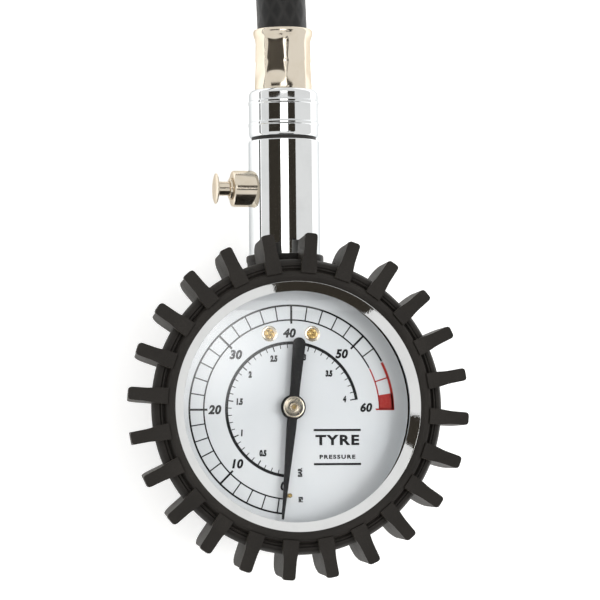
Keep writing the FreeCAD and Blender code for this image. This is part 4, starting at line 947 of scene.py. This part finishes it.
def coil(name, node, axis, wire_r, turns):
    """A spring wound along a CAD axis."""
    low, high = reach(node)
    length = (high - low).dot(axis) - 2 * wire_r
    across = (high - low) - axis * (high - low).dot(axis)
    mean_r = max(across) / 2 - wire_r
    base = (low + high) / 2 - axis * length / 2
    turn = Z.rotation_difference(axis).to_matrix()
    steps = int(turns * 48)
    points = []
    for i in range(steps + 1):
        angle = 2 * math.pi * turns * i / steps
        place = Vector((mean_r * math.cos(angle), mean_r * math.sin(angle), length * i / steps))
        points.append(base + turn @ place)
    shape = tube_shape(points, wire_r, 12)[:2]
    slot = slot_of(node)
    piece = mesh_piece(name, shape, slot, replaces=[node], crease=60, weighted=False)
    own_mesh(piece)


def collar():
    """The swivel collar: a chamfered top, two thin beads and a straight skirt."""
    low = COLLAR_LOW.y
    high = COLLAR_HIGH.y
    outline = rounded([
        (4.65, low, 0.1), (6.9, low, 0.2), (7.12, low + 0.5, 0.2), (7.12, low + 2.3, 0.12),
        (7.32, low + 2.42, 0.1), (7.32, low + 2.95, 0.12), (7.1, low + 3.1, 0.12),
        (7.1, high - 2.55, 0.12), (7.32, high - 2.4, 0.12), (7.32, high - 1.85, 0.12),
        (7.1, high - 1.75, 0.12), (7.1, high - 0.1, 0.25), (6.6, high + 0.5, 0.2), (4.65, high + 0.5, 0.1),
    ])
    mesh_piece("swivel_sleeve", set_at(lathe(outline), Z * STEM_Z, Y), "chrome", "swivel_collar", ["collar"])


def crimped(radius, along, angle):
    """A ferrule's radius where eight flats are pressed in, fading out at both ends of the crimp."""
    if radius < 5.3:
        return radius
    start = min(max((along - 2.0) / 2.2, 0), 1)
    end = min(max((11.5 - along) / 1.2, 0), 1)
    inside = start * start * (3 - 2 * start) * math.sqrt(end)
    step = 2 * math.pi / CRIMP_FLATS
    off = (angle - math.radians(CRIMP_EDGE_DEG) + step / 2) % step - step / 2
    flat = CRIMP_FLAT_R / math.cos(step / 2 - abs(off))
    pressed = radius - CRIMP_SOFTNESS * math.log(math.exp((radius - flat) / CRIMP_SOFTNESS) + 1)
    return radius + (pressed - radius) * inside


def ferrule(name, node, base, axis):
    """A crimped nickel ferrule: a plain skirt, eight flats and a slightly belled mouth."""
    length = FERRULE_LENGTH
    barrel = [(5.85 - 0.02 * i * (1 if i < 12 else 0.5), 2.6 + 0.33 * i, 0) for i in range(24)]
    outline = rounded([
        (5.12, length, 0.1), (5.12, 2.4, 0), (4.7, 2.4, 0), (4.7, 0, 0.1), (5.75, 0, 0.25), (5.87, 1.0, 0.3),
        *barrel, (5.72, 10.9, 0.3), (6.08, 11.9, 0.4), (6.12, length - 0.5, 0.2), (5.95, length, 0.25),
    ])
    shape = set_at(lathe(outline, steps=320, shape=crimped), base, axis)
    mesh_piece(name, shape, "warm_nickel", replaces=[node], crease=60, weighted=False)


# ---------------------------------------------------------------- pressure tube

def pressure_tube():
    """The curved flattened tube, sweeping round from its socket to its tip."""
    low, high = reach("bourdon_tube")
    straight = (high.z - low.z) / 2 - TUBE_HALF_THICK
    middle = (high.z + low.z) / 2
    around = 28
    steps = 88
    points = []
    for i in range(steps + 1):
        heading = math.radians(TUBE_START_DEG - TUBE_SWEEP_DEG * i / steps)
        for j in range(around):
            angle = 2 * math.pi * (j + 0.5) / around
            radius = TUBE_R + TUBE_HALF_THICK * math.cos(angle)
            height = middle + math.copysign(straight, math.sin(angle)) + TUBE_HALF_THICK * math.sin(angle)
            points.append(Vector((radius * math.cos(heading), radius * math.sin(heading), height)))
    faces = []
    for i in range(steps):
        for j in range(around):
            k = (j + 1) % around
            faces.append([i * around + j, i * around + k, (i + 1) * around + k, (i + 1) * around + j])
    faces += [list(range(around)), list(range(steps * around, (steps + 1) * around))]
    socket = math.radians(TUBE_START_DEG)
    tip = math.radians(TUBE_START_DEG - TUBE_SWEEP_DEG)
    reach_r = TUBE_R * MM
    bend = ("root", "tube_end", (reach_r * math.cos(socket), reach_r * math.sin(socket), middle * MM),
            (reach_r * math.cos(tip), reach_r * math.sin(tip), middle * MM))
    slot = slot_of("bourdon_tube")
    mesh_piece("pressure_tube", (points, faces), slot, replaces=["bourdon_tube"], crease=50,
               weighted=False, bend=bend)


# ---------------------------------------------------------------- chuck

def six_flats(chamfer):
    """A radius function for a hexagon whose ends are turned to a chamfer."""
    def shape(radius, along, angle):
        if radius < 5.0:
            return radius
        off = (angle + math.pi / 6) % (math.pi / 3) - math.pi / 6
        return min(NUT_FLAT_R / math.cos(off), chamfer(along, radius))
    return shape


def chuck_nut():
    """The hexagon behind the chuck, its corners turned off at both ends."""
    low = NUT_LOW.y
    length = NUT_HIGH.y - low

    def chamfer(along, radius):
        edge = min(along, length - along)
        return min(radius, 6.15 + edge * 1.5)

    levels = [0, 0.12, 0.25, 0.38, 0.52, 0.7]
    outline = [(4.25, 0), (5.6, 0), *[(6.93, y) for y in levels]]
    outline += [(radius, length - y) for radius, y in outline[::-1]]
    shape = set_at(lathe([Vector(p) for p in outline], steps=144, shape=six_flats(chamfer)),
                   Vector((CHUCK_X, low, CHUCK_Z)), Y)
    mesh_piece("chuck_hexagon", shape, "chrome", replaces=["chuck_nut"], crease=25, weighted=False)


def knurled(radius, along, angle):
    """The cap's radius with ridges cut in its grip."""
    if radius < 6.75:
        return radius
    wave = abs((angle * KNURLS / (2 * math.pi)) % 1 - 0.5) * 2
    return radius - KNURL_DEPTH * min(1, 1.6 * wave)


def chuck_cap():
    """The knurled cap with a plain band behind its grip, and the valve socket in its mouth."""
    elbow = Vector((CHUCK_X, NUT_LOW.y - NUT_TO_ELBOW, CHUCK_Z))
    axis = (X - Y).normalized()
    outline = rounded([
        (5.62, 0, 0), (6.55, 0, 0.2), (6.7, 0.5, 0.1), (6.7, 1.3, 0.1), (7.3, 1.7, 0.15), (7.35, 11.9, 0.2),
        (6.7, 12.5, 0.15), (6.45, 13.1, 0.2), (4.6, 13.1, 0.15), (4.12, 12.6, 0.1), (4.12, 6.2, 0),
        (5.62, 6.2, 0),
    ])
    shape = set_at(lathe(outline, steps=360, shape=knurled), elbow + axis * ELBOW_TO_GRIP, axis)
    slot = slot_of("chuck_cap")
    mesh_piece("chuck_grip", shape, slot, "chuck", ["chuck_cap"], crease=28, weighted=False)


# ---------------------------------------------------------------- light

def card_shape(width, height, z=0):
    """Points and the one face of a flat card, centred on the Z axis."""
    points = [Vector((x * width / 2, y * height / 2, z)) for x, y in ((-1, -1), (1, -1), (1, 1), (-1, 1))]
    return points, [[0, 1, 2, 3]]


def flag(name, place, size, facing, colour=(0.028, 0.024, 0.019), strength=0.0):
    """A card that only shows in reflections."""
    card = placed(name, metre_mesh(name, *card_shape(*size)))
    toward = (Vector(facing) - Vector(place)).normalized()
    across = Y.cross(toward).normalized()
    turn = Matrix((across, toward.cross(across), toward)).transposed()
    card.matrix_world = Matrix.LocRotScale(Vector(place) * MM, turn, None)
    look = Look(name, colour, 1.0, Emission_Color=(*colour, 1), Emission_Strength=strength)
    look.shader.inputs["Specular IOR Level"].default_value = 0
    card.data.materials.append(look.material)
    card.visible_camera = False
    card.visible_diffuse = False
    card.visible_shadow = False
    return card


def strip_at(name, from_deg, to_deg, distance=420.0, length=120.0, **settings):
    """A tall card beside the stem, between two angles round it from straight above towards +X."""
    middle = math.radians((from_deg + to_deg) / 2)
    width = 2 * distance * math.tan(math.radians(abs(to_deg - from_deg) / 2))
    aim = Vector((0, 50 + length / 2, STEM_Z))
    place = aim + Vector((math.sin(middle), 0, math.cos(middle))) * distance
    return flag(name, place, (width, length), aim, **settings)


def lens_card():
    """The dark card that the flat window reflects, with a soft glare towards the window's upper left."""
    card = flag("flag_window", (92, -2, 446), (190, 100), (92, -2, 0))
    look = Look("window_glare", (0.01, 0.01, 0.01), 1.0)
    look.shader.inputs["Specular IOR Level"].default_value = 0
    spot = look.node("ShaderNodeVectorMath", {0: look.place, 1: (0.035, 0.046, 0)}, operation="DISTANCE")
    look.drive("Emission Strength", look.span(spot.outputs["Value"], 0.0, 0.034, 5.0, 0.0))
    look.shader.inputs["Emission Color"].default_value = (1, 1, 1, 1)
    card.data.materials[0] = look.material


def studio():
    """A white tent, a pale floor, two soft lamps, and the cards that the metal and the window reflect."""
    world = bpy.data.worlds.new("tent")
    world.use_nodes = True
    background = world.node_tree.nodes["Background"]
    background.inputs["Color"].default_value = (1.0, 0.995, 0.985, 1)
    background.inputs["Strength"].default_value = 0.92
    bpy.context.scene.world = world
    floor = placed("floor", metre_mesh("floor", *card_shape(2 * FLOOR_HALF, 2 * FLOOR_HALF, FLOOR_Z)))
    look = Look("floor_paper", (0.93, 0.93, 0.925), 0.8, Emission_Color=(1, 1, 1, 1), Emission_Strength=0.3)
    paper = look.noise(900, 4, 0.6)
    fibre = look.span(paper, 0.3, 0.7, 0, 1)
    look.drive("Base Color", look.blend(fibre, (0.94, 0.94, 0.935), (0.92, 0.92, 0.915)))
    floor.data.materials.append(look.material)
    for name, place, size, power in LAMPS:
        data = bpy.data.lights.new(name, "AREA")
        data.energy = power
        data.size = size * MM
        lamp = placed(name, data)
        lamp.location = Vector(place) * MM
        lamp.visible_glossy = False
        lamp.rotation_mode = "QUATERNION"
        lamp.rotation_quaternion = (Vector((0, 20, 10)) - Vector(place)).to_track_quat("-Z", "Y")
    strip_at("flag_left", -61.5, -22.5)
    strip_at("flag_right", 2.5, 26.5)
    strip_at("strip_between", -22, 2, distance=470.0, colour=(1, 0.99, 0.97), strength=1.5)
    strip_at("flag_edge", -108, -103)
    flag("flag_low", (0, -323, 226), (330, 300), (0, 0, 25))
    lens_card()
    bpy.context.scene.view_settings.view_transform = "Standard"


# ---------------------------------------------------------------- assembly

dress_cad_nodes()
boot()
bezel()
dial_print()
pointer_hub()
stem()
bleed_valve()
coil("bleed_coil", "bleed_spring", X, BLEED_WIRE_R, BLEED_COILS)
coil("check_coil", "check_spring", Y, CHECK_WIRE_R, CHECK_COILS)
collar()
ferrule("stem_ferrule", "gauge_ferrule", (0, FERRULE_LOW.y, STEM_Z), Y)
ferrule("end_ferrule", "chuck_ferrule", (CHUCK_X, CHUCK_FERRULE_HIGH.y, CHUCK_Z), -Y)
pressure_tube()
chuck_nut()
chuck_cap()
dial_screw_heads()
studio()
